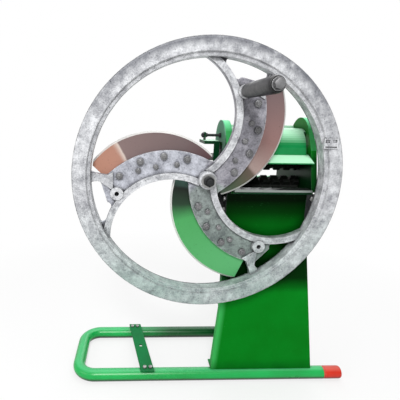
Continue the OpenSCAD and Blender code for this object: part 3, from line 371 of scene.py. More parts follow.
wheelMarkValues = {
    "groove": 0.3135, "grooveWidth": 0.0016, "backFrom": -0.0395, "outer": 0.3465, "inner": 0.3058,
    "corner": (0.3470, 0.3485), "cornerFront": (0.006, 0.004), "rimFrom": 0.3025,
    "bandHeight": (0.10, 0.26),
    "line": shade(45, 45, 48), "greenFrom": 0.58, "greenTo": 0.36, "greenReflectionTint": shade(160, 200, 182),
    "plateFrom": 0.0280, "plateTo": 0.0294, "bandFrom": 0.326, "bandTo": 0.343, "topShadeBand": shade(84, 86, 94),
    # tint of the arms' flat plates by the angle about the shaft in degrees, greenish below as a painted
    # reflection
    "plates": [(0, (0.55, 0.53, 0.57)), (78, (0.55, 0.53, 0.57)), (100, (0.82, 0.83, 0.89)),
               (205, (0.82, 0.83, 0.89)), (225, (0.47, 0.53, 0.49)), (330, (0.47, 0.53, 0.49)),
               (345, (0.55, 0.53, 0.57))],
}


def standMarks(tree, colour, coords):
    # painted shadow of the wheel and the shear plate below the knives, a painted highlight along the fold
    # on the left, and darker patches towards the foot
    values = standMarkValues
    place = partsOf(tree, coords)
    low = values["paintedShadingBands"][0][0]
    high = values["paintedShadingBands"][-1][0]
    # painted shadow of the wheel and the shear plate, band by band in height
    left = rampNode(tree, rangeNode(tree, place["Z"], low, high),
                    [((z - low) / (high - low), (part, part, part)) for z, part in values["paintedShadingBands"]])
    colour = mixColour(tree, 1.0, colour, left, "MULTIPLY")
    # painted highlight along the fold at the left
    edge = rangeNode(tree, place["Z"], values["footAt"], values["bendAt"],
                     values["edgeLow"], values["edgeHigh"])
    fromEdge = mathNode(tree, "SUBTRACT", place["X"], edge)
    foldHighlight = rangeNode(tree, fromEdge, values["stripWidth"], values["stripFade"])
    foldHighlight = times(tree, foldHighlight, rangeNode(tree, place["Z"], 0.36, 0.30))
    colour = mixColour(tree, times(tree, foldHighlight, 0.5), colour, values["foldHighlight"])
    foot = times(tree, rangeNode(tree, place["Z"], 0.075, 0.045), noiseOf(tree, coords, 14.0))
    return mixColour(tree, foot, colour, values["foot"])


def throatShade(tree, colour, coords):
    # below the hood, the cheeks' inner faces and front edges are darkened with painted shade
    values = throatShadeValues
    facing = facingOf(tree)
    place = partsOf(tree, coords)
    low = rangeNode(tree, place["Z"], values["darkTop"], values["darkFull"])
    left = times(tree, rangeNode(tree, facing["X"], 0.5, 0.9), rangeNode(tree, place["X"], *values["left"]))
    right = times(tree, rangeNode(tree, facing["X"], -0.5, -0.9),
                  rangeNode(tree, place["X"], *values["right"]))
    front = times(tree, rangeNode(tree, facing["Y"], -0.5, -0.9), values["front"])
    dark = mathNode(tree, "MAXIMUM", mathNode(tree, "MAXIMUM", left, right), front)
    return mixColour(tree, times(tree, times(tree, dark, low), values["depth"]), colour, values["shade"])


def gripMarks(tree, colour, coords):
    # the rubber is blackest round its front end, and darker below with painted shade
    values = gripMarkValues
    end = rangeNode(tree, partsOf(tree, coords)["Y"], *values["frontEnd"])
    below = rangeNode(tree, facingOf(tree)["Z"], *values["below"])
    dark = times(tree, mathNode(tree, "MAXIMUM", end, below), values["depth"])
    return mixColour(tree, dark, colour, values["black"])


def baseShade(tree, colour, coords):
    # painted shade: the tubes are dark below, and the rear one darkens towards the stand
    values = baseShadeValues
    place = partsOf(tree, coords)
    shaded = times(tree, rangeNode(tree, place["Y"], *values["rear"]),
                   rangeNode(tree, place["X"], *values["towardsStand"]))
    colour = mixColour(tree, times(tree, shaded, 0.8), colour, values["dark"])
    below = rangeNode(tree, facingOf(tree)["Z"], 0.05, -0.55)
    return mixColour(tree, times(tree, below, 0.9), colour, values["dark"])


def edgeTopShade(tree, colour, coords):
    # painted shade on the shear plate's top face, so that it is bright on its ground front edge only
    topFaceShade = rangeNode(tree, facingOf(tree)["Z"], 0.4, 0.8)
    return mixColour(tree, times(tree, topFaceShade, 0.93), colour, shade(12, 16, 13))


def wheelMarks(tree, colour, coords):
    # painted shade as dark lines along the rim and a dark band at its top, the arms' darker flat plates, a
    # painted green reflection below
    values = wheelMarkValues
    place = apartFrom(tree, coords, shaftAt)
    radius = reachOf(tree, place)
    inFrame = partsOf(tree, coords)
    # painted green reflection on the lower half of the wheel
    greenReflection = rangeNode(tree, inFrame["Z"], values["greenFrom"], values["greenTo"])
    greenReflection = times(tree, greenReflection, noiseOf(tree, coords, 8.0))
    colour = mixColour(tree, greenReflection, colour, values["greenReflectionTint"], "MULTIPLY")
    bearing = mathNode(tree, "FRACT", mathNode(
        tree, "ADD", times(tree, mathNode(tree, "ARCTAN2", place["Z"], place["X"]), 1 / math.tau), 1.0))
    tint = rampNode(tree, bearing, [(angle / 360, part) for angle, part in values["plates"]])
    plate = times(tree, rangeNode(tree, place["Y"], values["plateFrom"], values["plateTo"]),
                  rangeNode(tree, radius, 0.3040, 0.3025))
    colour = mixColour(tree, plate, colour, tint, "MULTIPLY")
    # painted shade: a dark band across the top of the rim
    topShadeBand = times(tree, rangeNode(tree, radius, values["bandFrom"], values["bandTo"]),
                 rangeNode(tree, place["Z"], *values["bandHeight"]))
    topShadeBand = times(tree, topShadeBand, rangeNode(tree, noiseOf(tree, coords, 45.0, 4.0, 0.6), 0.20, 0.50))
    colour = mixColour(tree, times(tree, topShadeBand, 0.8), colour, values["topShadeBand"])
    # painted shade along the rim's groove and its edges
    apart = mathNode(tree, "ABSOLUTE", mathNode(tree, "SUBTRACT", radius, values["groove"]))
    groove = times(tree, rangeNode(tree, apart, values["grooveWidth"], 0.0), 0.6)
    back = rangeNode(tree, inFrame["Y"], values["backFrom"], values["backFrom"] + 0.002)
    outer = times(tree, rangeNode(tree, radius, values["outer"] - 0.001, values["outer"]), back)
    corner = times(tree, rangeNode(tree, radius, *values["corner"]),
                   rangeNode(tree, place["Y"], *values["cornerFront"]))
    inner = times(tree, rangeNode(tree, radius, values["inner"] + 0.001, values["inner"]), back)
    onRim = rangeNode(tree, radius, values["rimFrom"], values["rimFrom"] + 0.001)
    dark = times(tree, mathNode(tree, "MAXIMUM", mathNode(tree, "MAXIMUM", outer, times(tree, corner, 0.8)),
                                mathNode(tree, "MAXIMUM", inner, groove)), onRim)
    broken = rangeNode(tree, noiseOf(tree, coords, 60.0, 4.0, 0.6), 0.30, 0.50)
    return mixColour(tree, times(tree, dark, times(tree, broken, 0.9)), colour, values["line"])


# the pale colour mixed into upward faces is a painted highlight, and the dark one mixed into downward faces
# and crevices is painted shade
greenLooks = {
    "deep": (0.0008, 0.165, 0.007, 1), "bright": (0.0012, 0.205, 0.012, 1), "dust": (0.05, 0.30, 0.08, 1),
    "metal": (0.22, 0.42, 0.28, 1), "wear": 0.35, "gloss": 0.34, "specular": 0.10,
    "highlightTint": shade(125, 240, 175), "highlightAmount": 0.75, "highlightFrom": 0.35, "shadeColour": shade(0, 22, 6),
}
standLooks = dict(greenLooks, specular=0.03, gloss=0.45, highlightAmount=0.3)
baseLooks = dict(greenLooks, deep=shade(10, 148, 66), bright=shade(18, 172, 82), specular=0.40, gloss=0.24,
                 highlightAmount=0.30, highlightFrom=0.75)
barLooks = dict(greenLooks, deep=shade(6, 92, 44), bright=shade(14, 118, 62), specular=0.08, gloss=0.5,
                highlightAmount=0.05)
hoodLooks = dict(greenLooks, deep=shade(16, 116, 58), bright=shade(28, 136, 76), highlightTint=shade(190, 244, 208),
                 highlightAmount=0.85, highlightFrom=0.30)
shadedLooks = dict(hoodLooks, deep=shade(5, 44, 24), bright=shade(12, 66, 38), highlightAmount=0.8,
                   highlightFrom=0.60)
# a paler grey-green copy of the paint: painted light on the left ear cover where it catches the light
earLooks = dict(greenLooks, deep=shade(84, 128, 104), bright=shade(98, 144, 120), specular=0.05, gloss=0.5,
                highlightAmount=0.3)
redLooks = {
    "deep": (0.50, 0.015, 0.007, 1), "bright": (0.66, 0.035, 0.014, 1), "dust": (0.60, 0.20, 0.16, 1),
    "metal": (0.80, 0.45, 0.40, 1), "wear": 0.5, "gloss": 0.25, "specular": 0.25,
    "highlightTint": shade(250, 150, 135), "highlightAmount": 0.3, "highlightFrom": 0.6, "shadeColour": shade(90, 5, 3),
}
# the dark colour serves both the pits and the painted shade in crevices
wheelLooks = {
    "deep": (0.27, 0.275, 0.295, 1), "bright": (0.68, 0.69, 0.71, 1), "dirtAndShade": (0.030, 0.030, 0.034, 1),
    "metal": (0.84, 0.85, 0.86, 1), "grain": 250.0, "pits": 0.9, "wear": 0.85, "rough": 0.45,
    "specular": 0.3, "metallic": 0.1, "bump": 0.8, "creviceReach": 0.012, "creviceDark": 1.0,
}
ironLooks = {
    "deep": (0.010, 0.011, 0.012, 1), "bright": (0.028, 0.030, 0.031, 1), "dirtAndShade": (0.006, 0.006, 0.005, 1),
    "metal": (0.10, 0.10, 0.11, 1), "grain": 320.0, "pits": 0.8, "wear": 0.35, "rough": 0.50,
    "specular": 0.25, "metallic": 0.2, "bump": 0.4, "creviceReach": 0.01, "creviceDark": 0.8,
}
# a darker copy of the iron: painted shade for the feed rollers deep in the throat
rollerLooks = dict(ironLooks, deep=(0.003, 0.004, 0.003, 1), bright=(0.009, 0.011, 0.009, 1),
                   specular=0.1, wear=0.2)
gripLooks = dict(ironLooks, deep=(0.016, 0.015, 0.017, 1), bright=(0.030, 0.028, 0.031, 1), metallic=0.0,
                 wear=0.3, rough=0.36, specular=0.5, bump=0.2)
zincLooks = {
    "deep": (0.22, 0.22, 0.22, 1), "bright": (0.42, 0.42, 0.41, 1), "metal": (0.75, 0.75, 0.75, 1),
    "dirtAndShade": (0.02, 0.02, 0.02, 1), "grainAlong": (1, 1, 1), "wear": 0.45, "rough": 0.36, "metallic": 0.6,
}
# the strongly rubbed bright edges are partly real wear and partly a painted highlight where light catches
# the nuts
nutLooks = dict(zincLooks, deep=(0.07, 0.07, 0.073, 1), bright=(0.24, 0.24, 0.245, 1),
                metal=(0.85, 0.85, 0.86, 1), metallic=0.4, wear=0.9)
edgeLooks = {
    "deep": (0.14, 0.17, 0.15, 1), "bright": (0.28, 0.32, 0.30, 1), "metal": (0.80, 0.82, 0.80, 1),
    "dirtAndShade": (0.03, 0.03, 0.03, 1), "grainAlong": (0.05, 1, 1), "wear": 0.4, "rough": 0.30, "metallic": 0.5,
}
bronzeLooks = {
    "deep": (0.38, 0.22, 0.07, 1), "bright": (0.55, 0.36, 0.14, 1), "metal": (0.75, 0.55, 0.28, 1),
    "dirtAndShade": (0.05, 0.03, 0.01, 1), "grainAlong": (1, 0.1, 1), "wear": 0.4, "rough": 0.32, "metallic": 0.9,
}
knifeValues = {
    # turn of the arm, centre and radius of the cutting edge, and the painted reflections by angle about
    # that centre
    "knife_left": {"turn": 0, "centre": (-134, -90), "edge": 214, "paintedShadingBands": [
        (40, (75, 45, 50)), (68, (105, 90, 90)), (118.5, (125, 106, 104)), (119.5, (205, 190, 180)),
        (123, (170, 125, 108)), (145, (180, 130, 110))]},
    "knife_lower": {"turn": 120, "centre": (-123, -89), "edge": 232, "paintedShadingBands": [
        (28, (150, 170, 165)), (45, (60, 90, 80)), (50, (10, 18, 12)), (63, (34, 58, 40)),
        (75, (72, 155, 88)), (150, (92, 175, 112))]},
    "knife_upper": {"turn": 240, "centre": (-134, -90), "edge": 214, "paintedShadingBands": [
        (30, (90, 104, 95)), (55, (66, 80, 60)), (73, (90, 78, 68)), (75.5, (160, 140, 134)),
        (100, (140, 108, 104)), (146, (110, 94, 95))]},
}

greenPaint = paintMaterial("greenPaint", greenLooks)
standPaint = paintMaterial("standPaint", standLooks, standMarks)
throatPaint = paintMaterial("throatPaint", greenLooks, throatShade)
basePaint = paintMaterial("basePaint", baseLooks, baseShade)
barPaint = paintMaterial("barPaint", barLooks)
hoodPaint = paintMaterial("hoodPaint", hoodLooks)
shadedPaint = paintMaterial("shadedPaint", shadedLooks)
earPaint = paintMaterial("earPaint", earLooks)
rollerIron = castMaterial("rollerIron", rollerLooks)
wheelCast = castMaterial("wheelCast", wheelLooks, wheelMarks)
darkIron = castMaterial("darkIron", ironLooks)
gripRubber = castMaterial("gripRubber", gripLooks, gripMarks)
zincSteel = steelMaterial("zincSteel", zincLooks)
nutSteel = steelMaterial("nutSteel", nutLooks)
edgeSteel = steelMaterial("edgeSteel", edgeLooks, edgeTopShade)
bronze = steelMaterial("bronze", bronzeLooks)
redPlastic = paintMaterial("redPlastic", redLooks)

finishOfSlot = {
    "green_paint": greenPaint, "red_cap": redPlastic, "zinc_steel": zincSteel, "edge_steel": edgeSteel,
    "dark_iron": darkIron, "cast_wheel": wheelCast, "bronze": bronze, "grip_black": gripRubber,
}
finishOfNode = {
    "stand_front": standPaint, "left_cheek": throatPaint, "right_cheek": throatPaint,
    "base_tube": basePaint, "cross_bar": barPaint, "hood": hoodPaint, "front_bed": shadedPaint,
    "gear_guard": shadedPaint,
    "left_ear_cover": earPaint, "lower_roller": rollerIron, "upper_roller": rollerIron,
}
for knifeName, knife in knifeValues.items():
    finishOfNode[knifeName] = knifeMaterial(
        knifeName.replace("_", " "), knife["turn"], knife["centre"], knife["edge"], knife["paintedShadingBands"])
for part in frame["record"]["subparts"]:
    node = frame["nodes"][part["node"]]
    for slot in node.material_slots:
        slot.material = finishOfNode.get(part["node"]) or finishOfSlot[part["material_slot"]]
print("finishes made")

# Modelling

def endEdit():
    bpy.ops.mesh.select_all(action="SELECT")
    bpy.ops.mesh.normals_make_consistent(inside=False)
    bpy.ops.object.mode_set(mode="OBJECT")


def selectOnly(piece):
    bpy.ops.object.select_all(action="DESELECT")
    piece.select_set(True)
    bpy.context.view_layer.objects.active = piece


def settle(piece):
    # puts the piece's place and turn into its mesh
    selectOnly(piece)
    bpy.ops.object.transform_apply(location=True, rotation=True, scale=True)


def turned(name, start, direction, outline, sides=48):
    # a turned shape drawn out ring by ring; the outline holds radius and distance in millimetres
    bpy.ops.object.select_all(action="DESELECT")
    along = Vector(direction).normalized()
    bpy.ops.mesh.primitive_circle_add(
        vertices=sides, radius=outline[0][0] * mm, fill_type="NGON",
        location=start + along * outline[0][1] * mm, rotation=along.to_track_quat("Z", "Y").to_euler())
    piece = bpy.context.object
    piece.name = name
    bpy.ops.object.mode_set(mode="EDIT")
    bpy.ops.mesh.select_all(action="SELECT")
    for (radius, distance), (nextRadius, nextDistance) in zip(outline, outline[1:]):
        bpy.ops.mesh.extrude_region_move(
            TRANSFORM_OT_translate={"value": along * (nextDistance - distance) * mm})
        bpy.ops.transform.resize(value=(nextRadius / radius,) * 3,
                                 center_override=start + along * nextDistance * mm)
    endEdit()
    settle(piece)
    return piece


def applyAll(piece):
    selectOnly(piece)
    for modifier in list(piece.modifiers):
        bpy.ops.object.modifier_apply(modifier=modifier.name)


def combine(piece, tool, operation):
    cut = piece.modifiers.new("cut", "BOOLEAN")
    cut.operation = operation
    cut.object = tool
    cut.solver = "EXACT"
    applyAll(piece)
    bpy.data.objects.remove(tool)


def hexHead(name, across, thick, chamfer=0.16):
    # a hexagon of the given width over its flats and thickness, standing on the origin along +Z
    corner = across / 2 / math.cos(math.pi / 6)
    piece = turned(name, Vector((0, 0, 0)), (0, 0, 1), [(corner, 0), (corner, thick)], 6)
    low = across * 0.475
    wide = across * 0.6
    drop = thick * chamfer
    cone = turned("chamferTool", Vector((0, 0, 0)), (0, 0, 1), [
        (low, -0.01), (wide, drop), (wide, thick - drop), (low, thick + 0.01), (low * 0.6, thick + 0.01)])
    combine(piece, cone, "INTERSECT")
    return piece


def threadOutline(radius, low, high, pitch):
    # rings of a thread between two distances
    rings = [(radius * 0.80, low), (radius * 0.88, low + pitch * 0.3)]
    for i in range(int((high - low) / pitch)):
        rings += [(radius, low + pitch * (i + 0.5)), (radius * 0.88, low + pitch * (i + 1.0))]
    return rings + [(radius, high + pitch * 0.3)]


def copyOf(model, place, direction, spin=0.0):
    made = model.copy()
    made.data = model.data.copy()
    bpy.context.scene.collection.objects.link(made)
    facing = Vector(direction).to_track_quat("Z", "Y").to_matrix().to_4x4()
    made.matrix_world = Matrix.Translation(place) @ facing @ Matrix.Rotation(spin, 4, "Z")
    return made


def joined(name, parts):
    # one piece of several, with their places in its mesh
    for part in parts:
        settle(part)
    bpy.ops.object.select_all(action="DESELECT")
    for part in parts:
        part.select_set(True)
    bpy.context.view_layer.objects.active = parts[0]
    if len(parts) > 1:
        bpy.ops.object.join()
    made = bpy.context.view_layer.objects.active
    made.name = name
    return made


def finishPiece(piece, material, body, replaced, smoothAt=32):
    selectOnly(piece)
    bpy.ops.object.shade_smooth_by_angle(angle=math.radians(smoothAt))
    piece.data.materials.clear()
    piece.data.materials.append(material)
    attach(piece, body)
    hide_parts(*replaced)


# Bolts of the wheel

knifeBoltValues = {
    "places": [(75, 135.6), (129, 152.5), (181, 165.7), (230, 178.3)], "radius": 5.0, "pitch": 1.5,
    "front": 18, "face": 30, "back": 48, "nutAcross": 17, "nutThick": 8,
}
setScrewValues = {
    "places": [(88.5, 154.7), (138.5, 166.8), (182, 173.4)], "radius": 4.0, "pitch": 1.25,
    "front": 21, "face": 30, "back": 43, "nutAcross": 13, "nutThick": 6,
}


def makeKnifeBolts(values):
    radius = values["radius"]
    outline = threadOutline(radius, values["front"], values["face"], values["pitch"]) + [
        (radius, values["back"] - 4), (radius + 3.9, values["back"] - 0.1),
        (radius - 1.2, values["back"] - 0.1), (radius - 1.4, values["back"] - 2.6)]
    model = turned("boltModel", Vector((0, 0, 0)), (0, 0, 1), outline, 24)
    places = [(distance, angle, turn) for turn in armTurns for distance, angle in values["places"]]
    copies = [copyOf(model, onArm(distance, angle, turn, 0), (0, 1, 0)) for distance, angle, turn in places]
    bpy.data.objects.remove(model)
    finishPiece(joined("knifeBolts", copies), nutSteel, "wheel", ["knife_bolts"])
    return places


def makeArmNuts(name, values, places, node):
    model = hexHead("nutModel", values["nutAcross"], values["nutThick"])
    under = values["face"] - values["nutThick"]
    copies = [copyOf(model, onArm(distance, angle, turn, under), (0, 1, 0), math.radians(37 * i))
              for i, (distance, angle, turn) in enumerate(places)]
    bpy.data.objects.remove(model)
    finishPiece(joined(name, copies), nutSteel, "wheel", [node])


def makeSetScrews(values):
    outline = threadOutline(values["radius"], values["front"], values["face"], values["pitch"]) + [
        (values["radius"], values["back"])]
    model = turned("screwModel", Vector((0, 0, 0)), (0, 0, 1), outline, 20)
    places = [(distance, angle, turn) for turn in armTurns for distance, angle in values["places"]]
    copies = [copyOf(model, onArm(distance, angle, turn, 0), (0, 1, 0)) for distance, angle, turn in places]
    bpy.data.objects.remove(model)
    finishPiece(joined("setScrews", copies), nutSteel, "wheel", ["set_screws"])
    return places


boltPlaces = makeKnifeBolts(knifeBoltValues)
makeArmNuts("knifeNuts", knifeBoltValues, boltPlaces, "knife_nuts")
screwPlaces = makeSetScrews(setScrewValues)
makeArmNuts("setScrewNuts", setScrewValues, screwPlaces, "set_screw_nuts")
print("bolts of the wheel made")

# Crank grip and its bolt

gripValues = {
    "x": 84.30, "z": 224.28, "outline": [
        (6.4, -6), (12.6, -6), (15.2, -4.6), (16.6, -2), (17.3, 8), (17.6, 30), (18.0, 90), (18.0, 168),
        (17.6, 178), (16.8, 183.5), (15.6, 185.6), (14.4, 186), (13.9, 185.4), (13.9, 184.2), (6.4, 184.2)],
    "seamAngles": (-60, 120), "seamHeight": 0.35, "sides": 72,
}
crankBoltValues = {"rod": 6.0, "washer": 13.4, "washerThick": 3.0, "headAcross": 18.0, "headThick": 8.8,
                   "front": -187, "back": 43}


def makeGrip(values):
    centre = fromShaft(values["x"], 0, values["z"])
    grip = turned("gripSleeve", centre, (0, -1, 0), values["outline"], values["sides"])
    mesh = grip.data
    for vertex in mesh.vertices:  # the mould's seam stands a little proud on both sides
        out = vertex.co - centre
        out.y = 0
        angle = math.degrees(math.atan2(out.z, out.x))
        if out.length > 12.5 * mm and any(abs(angle - seam) < 1.5 for seam in values["seamAngles"]):
            vertex.co += out.normalized() * values["seamHeight"] * mm
    finishPiece(grip, gripRubber, "grip", ["handle_grip"])


def makeCrankBolt(values, grip):
    centre = fromShaft(grip["x"], 0, grip["z"])
    front = values["front"]
    washerFront = front - values["washerThick"]
    rod = turned("crankRod", centre, (0, 1, 0), [
        (values["rod"], front - 2), (values["rod"], values["back"])], 32)
    washer = turned("crankWasher", centre, (0, 1, 0), [
        (values["washer"] - 0.5, washerFront), (values["washer"], washerFront + 0.5),
        (values["washer"], front - 0.4), (values["washer"] - 0.4, front)])
    head = hexHead("crankHead", values["headAcross"], values["headThick"], 0.14)
    placed = copyOf(head, centre + Vector((0, washerFront * mm, 0)), (0, -1, 0), 0.3)
    bpy.data.objects.remove(head)
    finishPiece(joined("crankBolt", [rod, washer, placed]), nutSteel, "wheel",
                ["handle_spindle"])


makeGrip(gripValues)
makeCrankBolt(crankBoltValues, gripValues)
print("crank made")

# Caps of the base tube

capValues = {
    "rows": [64, 284], "z": -624.5, "outline": [
        (16.2, 384.5), (16.2, 407.6), (18.2, 408.1), (18.8, 408.8), (18.8, 411.0), (18.0, 411.8),
        (18.0, 413.4), (18.9, 414.4), (19.0, 420), (19.0, 459), (18.4, 462.4), (16.8, 464.9),
        (14.2, 466.0), (9.5, 466.0), (9.0, 465.2)],
}


def makeCaps(values):
    caps = [turned("cap", fromShaft(0, y, values["z"]), (1, 0, 0), values["outline"], 64)
            for y in values["rows"]]
    finishPiece(joined("tubeCaps", caps), redPlastic, "stand", ["tube_caps"])


makeCaps(capValues)
print("caps made")

# Pressure springs

springValues = {"x": (65.7, 317.3), "y": 196, "low": -98.6, "high": -63.4, "curls": 6, "radius": 9.0,
                "wire": 1.3, "anchor": -62, "shortest": 32 / 38}


def makeSpring(name, node, x, values):
    bpy.ops.object.select_all(action="DESELECT")
    centre = fromShaft(x, values["y"], values["low"])
    bpy.ops.mesh.primitive_circle_add(vertices=14, radius=values["wire"] * mm, fill_type="NOTHING",
                                      location=centre, rotation=(math.pi / 2, 0, 0))
    wire = bpy.context.object
    wire.name = name
    bpy.ops.object.transform_apply(location=False, rotation=True, scale=True)
    bpy.ops.object.mode_set(mode="EDIT")
    bpy.ops.mesh.select_all(action="SELECT")
    bpy.ops.transform.translate(value=(values["radius"] * mm, 0, 0))
    bpy.ops.object.mode_set(mode="OBJECT")
    coil = wire.modifiers.new("coil", "SCREW")
    coil.axis = "Z"
    coil.angle = math.tau
    coil.iterations = values["curls"]
    coil.screw_offset = (values["high"] - values["low"]) / values["curls"] * mm
    coil.steps = coil.render_steps = 28
    applyAll(wire)
    bpy.ops.object.mode_set(mode="EDIT")
    bpy.ops.mesh.select_all(action="SELECT")
    bpy.ops.mesh.fill_holes(sides=0)
    endEdit()
    settle(wire)
    finishPiece(wire, zincSteel, "stand", [node], 80)
    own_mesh(wire)


makeSpring("leftSpring", "left_spring", springValues["x"][0], springValues)
makeSpring("rightSpring", "right_spring", springValues["x"][1], springValues)
print("springs made")

# Bolts and nuts of the stand, the throat and the gearing

bearingBoltPlaces = ((83, 27), (74, -62), (74, -94), (231, 34), (231, -34))
crossBarBoltPlaces = ((-155, 64), (-137, 64), (-195, 284), (-177, 284))
fastenerValues = {
    # heads and nuts: place, the way they face, width over the flats, thickness; rods: two ends and radius
    "cheekBolts": {
        "body": "stand", "slot": "zinc_steel", "nodes": ["cheek_bolts"],
        "heads": [((77, 108, -66), (-1, 0, 0), 13, 5.4), ((77, 108, -96), (-1, 0, 0), 13, 5.4),
                  ((306, 108, -66), (1, 0, 0), 13, 5.4), ((306, 108, -96), (1, 0, 0), 13, 5.4),
                  ((306, 267, -66), (1, 0, 0), 13, 5.4), ((306, 267, -96), (1, 0, 0), 13, 5.4),
                  ((310, 74, -66), (1, 0, 0), 13, 5.4), ((306, 58, -58), (0, -1, 0), 13, 4.9),
                  ((86, 108, -66), (1, 0, 0), 13, 5.0), ((86, 108, -96), (1, 0, 0), 13, 5.0),
                  ((297, 108, -66), (-1, 0, 0), 13, 5.0), ((297, 108, -96), (-1, 0, 0), 13, 5.0),
                  ((297, 267, -66), (-1, 0, 0), 13, 5.0), ((297, 267, -96), (-1, 0, 0), 13, 5.0),
                  ((297, 74, -66), (-1, 0, 0), 13, 5.0)],
        "rods": [((77, 108, -66), (92.4, 108, -66), 4), ((77, 108, -96), (92.4, 108, -96), 4),
                 ((306, 108, -66), (290.6, 108, -66), 4), ((306, 108, -96), (290.6, 108, -96), 4),
                 ((306, 267, -66), (290.6, 267, -66), 4), ((306, 267, -96), (290.6, 267, -96), 4),
                 ((310, 74, -66), (290.6, 74, -66), 4), ((306, 58, -58), (306, 61, -58), 4)]},
    "hoodBolts": {
        "body": "stand", "slot": "zinc_steel", "nodes": ["hood_bolts"],
        "heads": [((77, y, 118), (-1, 0, 0), 10, 3.9) for y in (142, 194)] +
                 [((306, y, 118), (1, 0, 0), 10, 3.9) for y in (142, 194)] +
                 [((86, y, 118), (1, 0, 0), 9, 4.6) for y in (142, 194)] +
                 [((297, y, 118), (-1, 0, 0), 9, 4.6) for y in (142, 194)],
        "rods": [((77, y, 118), (92, y, 118), 3) for y in (142, 194)] +
                [((306, y, 118), (291, y, 118), 3) for y in (142, 194)]},
    "bearingBolts": {
        "body": "stand", "slot": "zinc_steel", "nodes": ["bearing_bolts"],
        "heads": [((65, y, z), (-1, 0, 0), 13, 5.4) for y, z in bearingBoltPlaces],
        "rods": [((65, y, z), (83, y, z), 4) for y, z in bearingBoltPlaces]},
    "crossBarBolts": {
        "body": "stand", "slot": "zinc_steel", "nodes": ["cross_bar_bolts"],
        "heads": [((x, y, -600.5), (0, 0, 1), 11, 4.9) for x, y in crossBarBoltPlaces],
        "rods": [((x, y, -605.5), (x, y, -600), 4) for x, y in crossBarBoltPlaces]},
    "drawRodNuts": {
        "body": "carriage", "slot": "zinc_steel", "nodes": ["draw_rod_nuts"],
        "heads": [((x, 196, 70), (0, 0, 1), 15, 7.9) for x in (65.7, 317.3)] +
                 [((x, 196, -102), (0, 0, -1), 15, 7.9) for x in (65.7, 317.3)],
        "rods": [((x, 196, -102), (x, 196, -100.1), 10.4) for x in (65.7, 317.3)]},
    "handleLocknut": {
        "body": "wheel", "slot": "zinc_steel", "nodes": ["handle_locknut"],
        "heads": [((84.30, 18, 224.28), (0, -1, 0), 19, 9.9)], "rods": []},
    "hubNut": {
        "body": "wheel", "slot": "dark_iron", "nodes": ["hub_nut"],
        "heads": [((0, -1, 0), (0, -1, 0), 24, 13.9)], "rods": []},
    "guardRod": {
        "body": "stand", "slot": "dark_iron", "nodes": ["guard_rod"],
        "heads": [((12, 160, 109), (-1, 0, 0), 12, 5.9), ((16, 160, 109), (1, 0, 0), 12, 5.9),
                  ((62, 160, 109), (-1, 0, 0), 12, 5.9)],
        "rods": [((83, 160, 109), (4.1, 160, 109), 4)]},
}


def makeRod(start, end, radius):
    along = Vector(end) - Vector(start)
    length = along.length
    tip = min(0.6, radius * 0.2)
    return turned("rod", fromShaft(*start), along, [
        (radius, 0), (radius, length - tip), (radius - tip, length)], 28)


def makeFasteners(name, values):
    models = {}
    made = []
    for i, (place, facing, across, thick) in enumerate(values["heads"]):
        if (across, thick) not in models:
            models[across, thick] = hexHead("headModel", across, thick)
        made.append(copyOf(models[across, thick], fromShaft(*place), facing, math.radians(23 * i)))
    for model in models.values():
        bpy.data.objects.remove(model)
    made += [makeRod(*rod) for rod in values["rods"]]
    slot = values["slot"]
    finishPiece(joined(name, made), finishOfSlot[slot], values["body"], values["nodes"])


for fastenerName, fastener in fastenerValues.items():
    makeFasteners(fastenerName, fastener)
print("bolts and nuts made")

# Camera and light

camera = {
    "at": (-0.2273, -0.9591, 0.8035), "lens": 31.73, "sensor": 36.0, "shiftX": 0.125, "shiftY": -0.005,
    "right": (0.9992, -0.0373, 0.0163), "up": (-0.0074, 0.2263, 0.9740), "back": (-0.0401, -0.9733, 0.2258),
}
lamps = [
    # name, place, aimed at, size, power, colour
    ("keyLamp", (-0.5, -2.3, 2.3), (0, 0, 0.45), 0.7, 62, (1.0, 1.0, 1.0)),
    ("overheadLamp", (0.2, 0.3, 2.6), (0, 0, 0.5), 2.2, 30, (1.0, 1.0, 1.0)),
    ("leftLamp", (-2.4, -1.2, 1.4), (0, 0, 0.5), 1.6, 16, (1.0, 0.99, 0.98)),
    ("backLamp", (0.9, 2.4, 1.8), (0, 0, 0.5), 1.6, 14, (0.98, 0.99, 1.0)),
]
worldLight = 0.28
floorValues = {"size": 30, "near": 0.6, "far": 1.5, "nearWhite": 0.7}


def makeCamera(values):
    data = bpy.data.cameras.new("photoCamera")
    data.lens = values["lens"]
    data.sensor_width = values["sensor"]
    data.sensor_fit = "HORIZONTAL"
    data.shift_x = values["shiftX"]
    data.shift_y = values["shiftY"]
    data.clip_start = 0.02
    data.clip_end = 60
    made = bpy.data.objects.new("photoCamera", data)
    bpy.context.scene.collection.objects.link(made)
    columns = Matrix((values["right"], values["up"], values["back"])).transposed()
    made.matrix_world = Matrix.Translation(values["at"]) @ columns.normalized().to_4x4()
    bpy.context.scene.camera = made


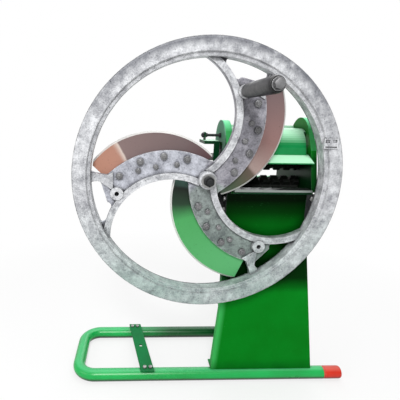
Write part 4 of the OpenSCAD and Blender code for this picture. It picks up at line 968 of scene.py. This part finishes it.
def makeLamps(rows):
    for name, place, target, size, power, colour in rows:
        data = bpy.data.lights.new(name, "AREA")
        data.size = size
        data.energy = power
        data.color = colour
        made = bpy.data.objects.new(name, data)
        made.location = place
        made.rotation_euler = (Vector(place) - Vector(target)).to_track_quat("Z", "Y").to_euler()
        bpy.context.scene.collection.objects.link(made)


def seenDirectly(tree):
    # 1 where the camera looks, straight or by a mirror or a window
    path = addNode(tree, "ShaderNodeLightPath").outputs
    return mathNode(tree, "MAXIMUM", path["Is Camera Ray"], mathNode(
        tree, "MAXIMUM", path["Is Glossy Ray"], path["Is Transmission Ray"]))


def makeWorld(lit):
    world = bpy.data.worlds.new("studio")
    bpy.context.scene.world = world
    world.use_nodes = True
    tree = world.node_tree
    tree.nodes.clear()
    soft = addNode(tree, "ShaderNodeBackground", {"Color": (1, 1, 1, 1), "Strength": lit})
    white = addNode(tree, "ShaderNodeBackground", {"Color": (1, 1, 1, 1), "Strength": 1.0})
    mix = addNode(tree, "ShaderNodeMixShader", {
        0: seenDirectly(tree), 1: soft.outputs[0], 2: white.outputs[0]})
    addNode(tree, "ShaderNodeOutputWorld", {"Surface": mix.outputs[0]})


def makeFloor(values):
    # a pale floor that keeps the shadow near the object and fades to white further out
    bpy.ops.mesh.primitive_plane_add(size=values["size"], location=(0, 0, 0))
    made = bpy.context.object
    made.name = "floor"
    material, tree, bsdf, coords = newMaterial("paleFloor", Roughness=0.9, Specular_IOR_Level=0.1)
    bsdf.inputs["Base Color"].default_value = (0.88, 0.88, 0.88, 1)
    distance = addNode(tree, "ShaderNodeVectorMath", {0: coords}, operation="LENGTH").outputs["Value"]
    fade = rangeNode(tree, distance, values["near"], values["far"], values["nearWhite"], 1.0)
    white = addNode(tree, "ShaderNodeEmission", {"Color": (1, 1, 1, 1), "Strength": 1.0}).outputs[0]
    mix = addNode(tree, "ShaderNodeMixShader", {
        0: times(tree, fade, seenDirectly(tree)), 1: bsdf.outputs[0], 2: white})
    tree.links.new(mix.outputs[0], tree.nodes["Material Output"].inputs["Surface"])
    made.data.materials.append(material)


makeCamera(camera)
makeLamps(lamps)
makeWorld(worldLight)
makeFloor(floorValues)
bpy.context.scene.view_settings.view_transform = "Standard"
print("camera, light and floor made")
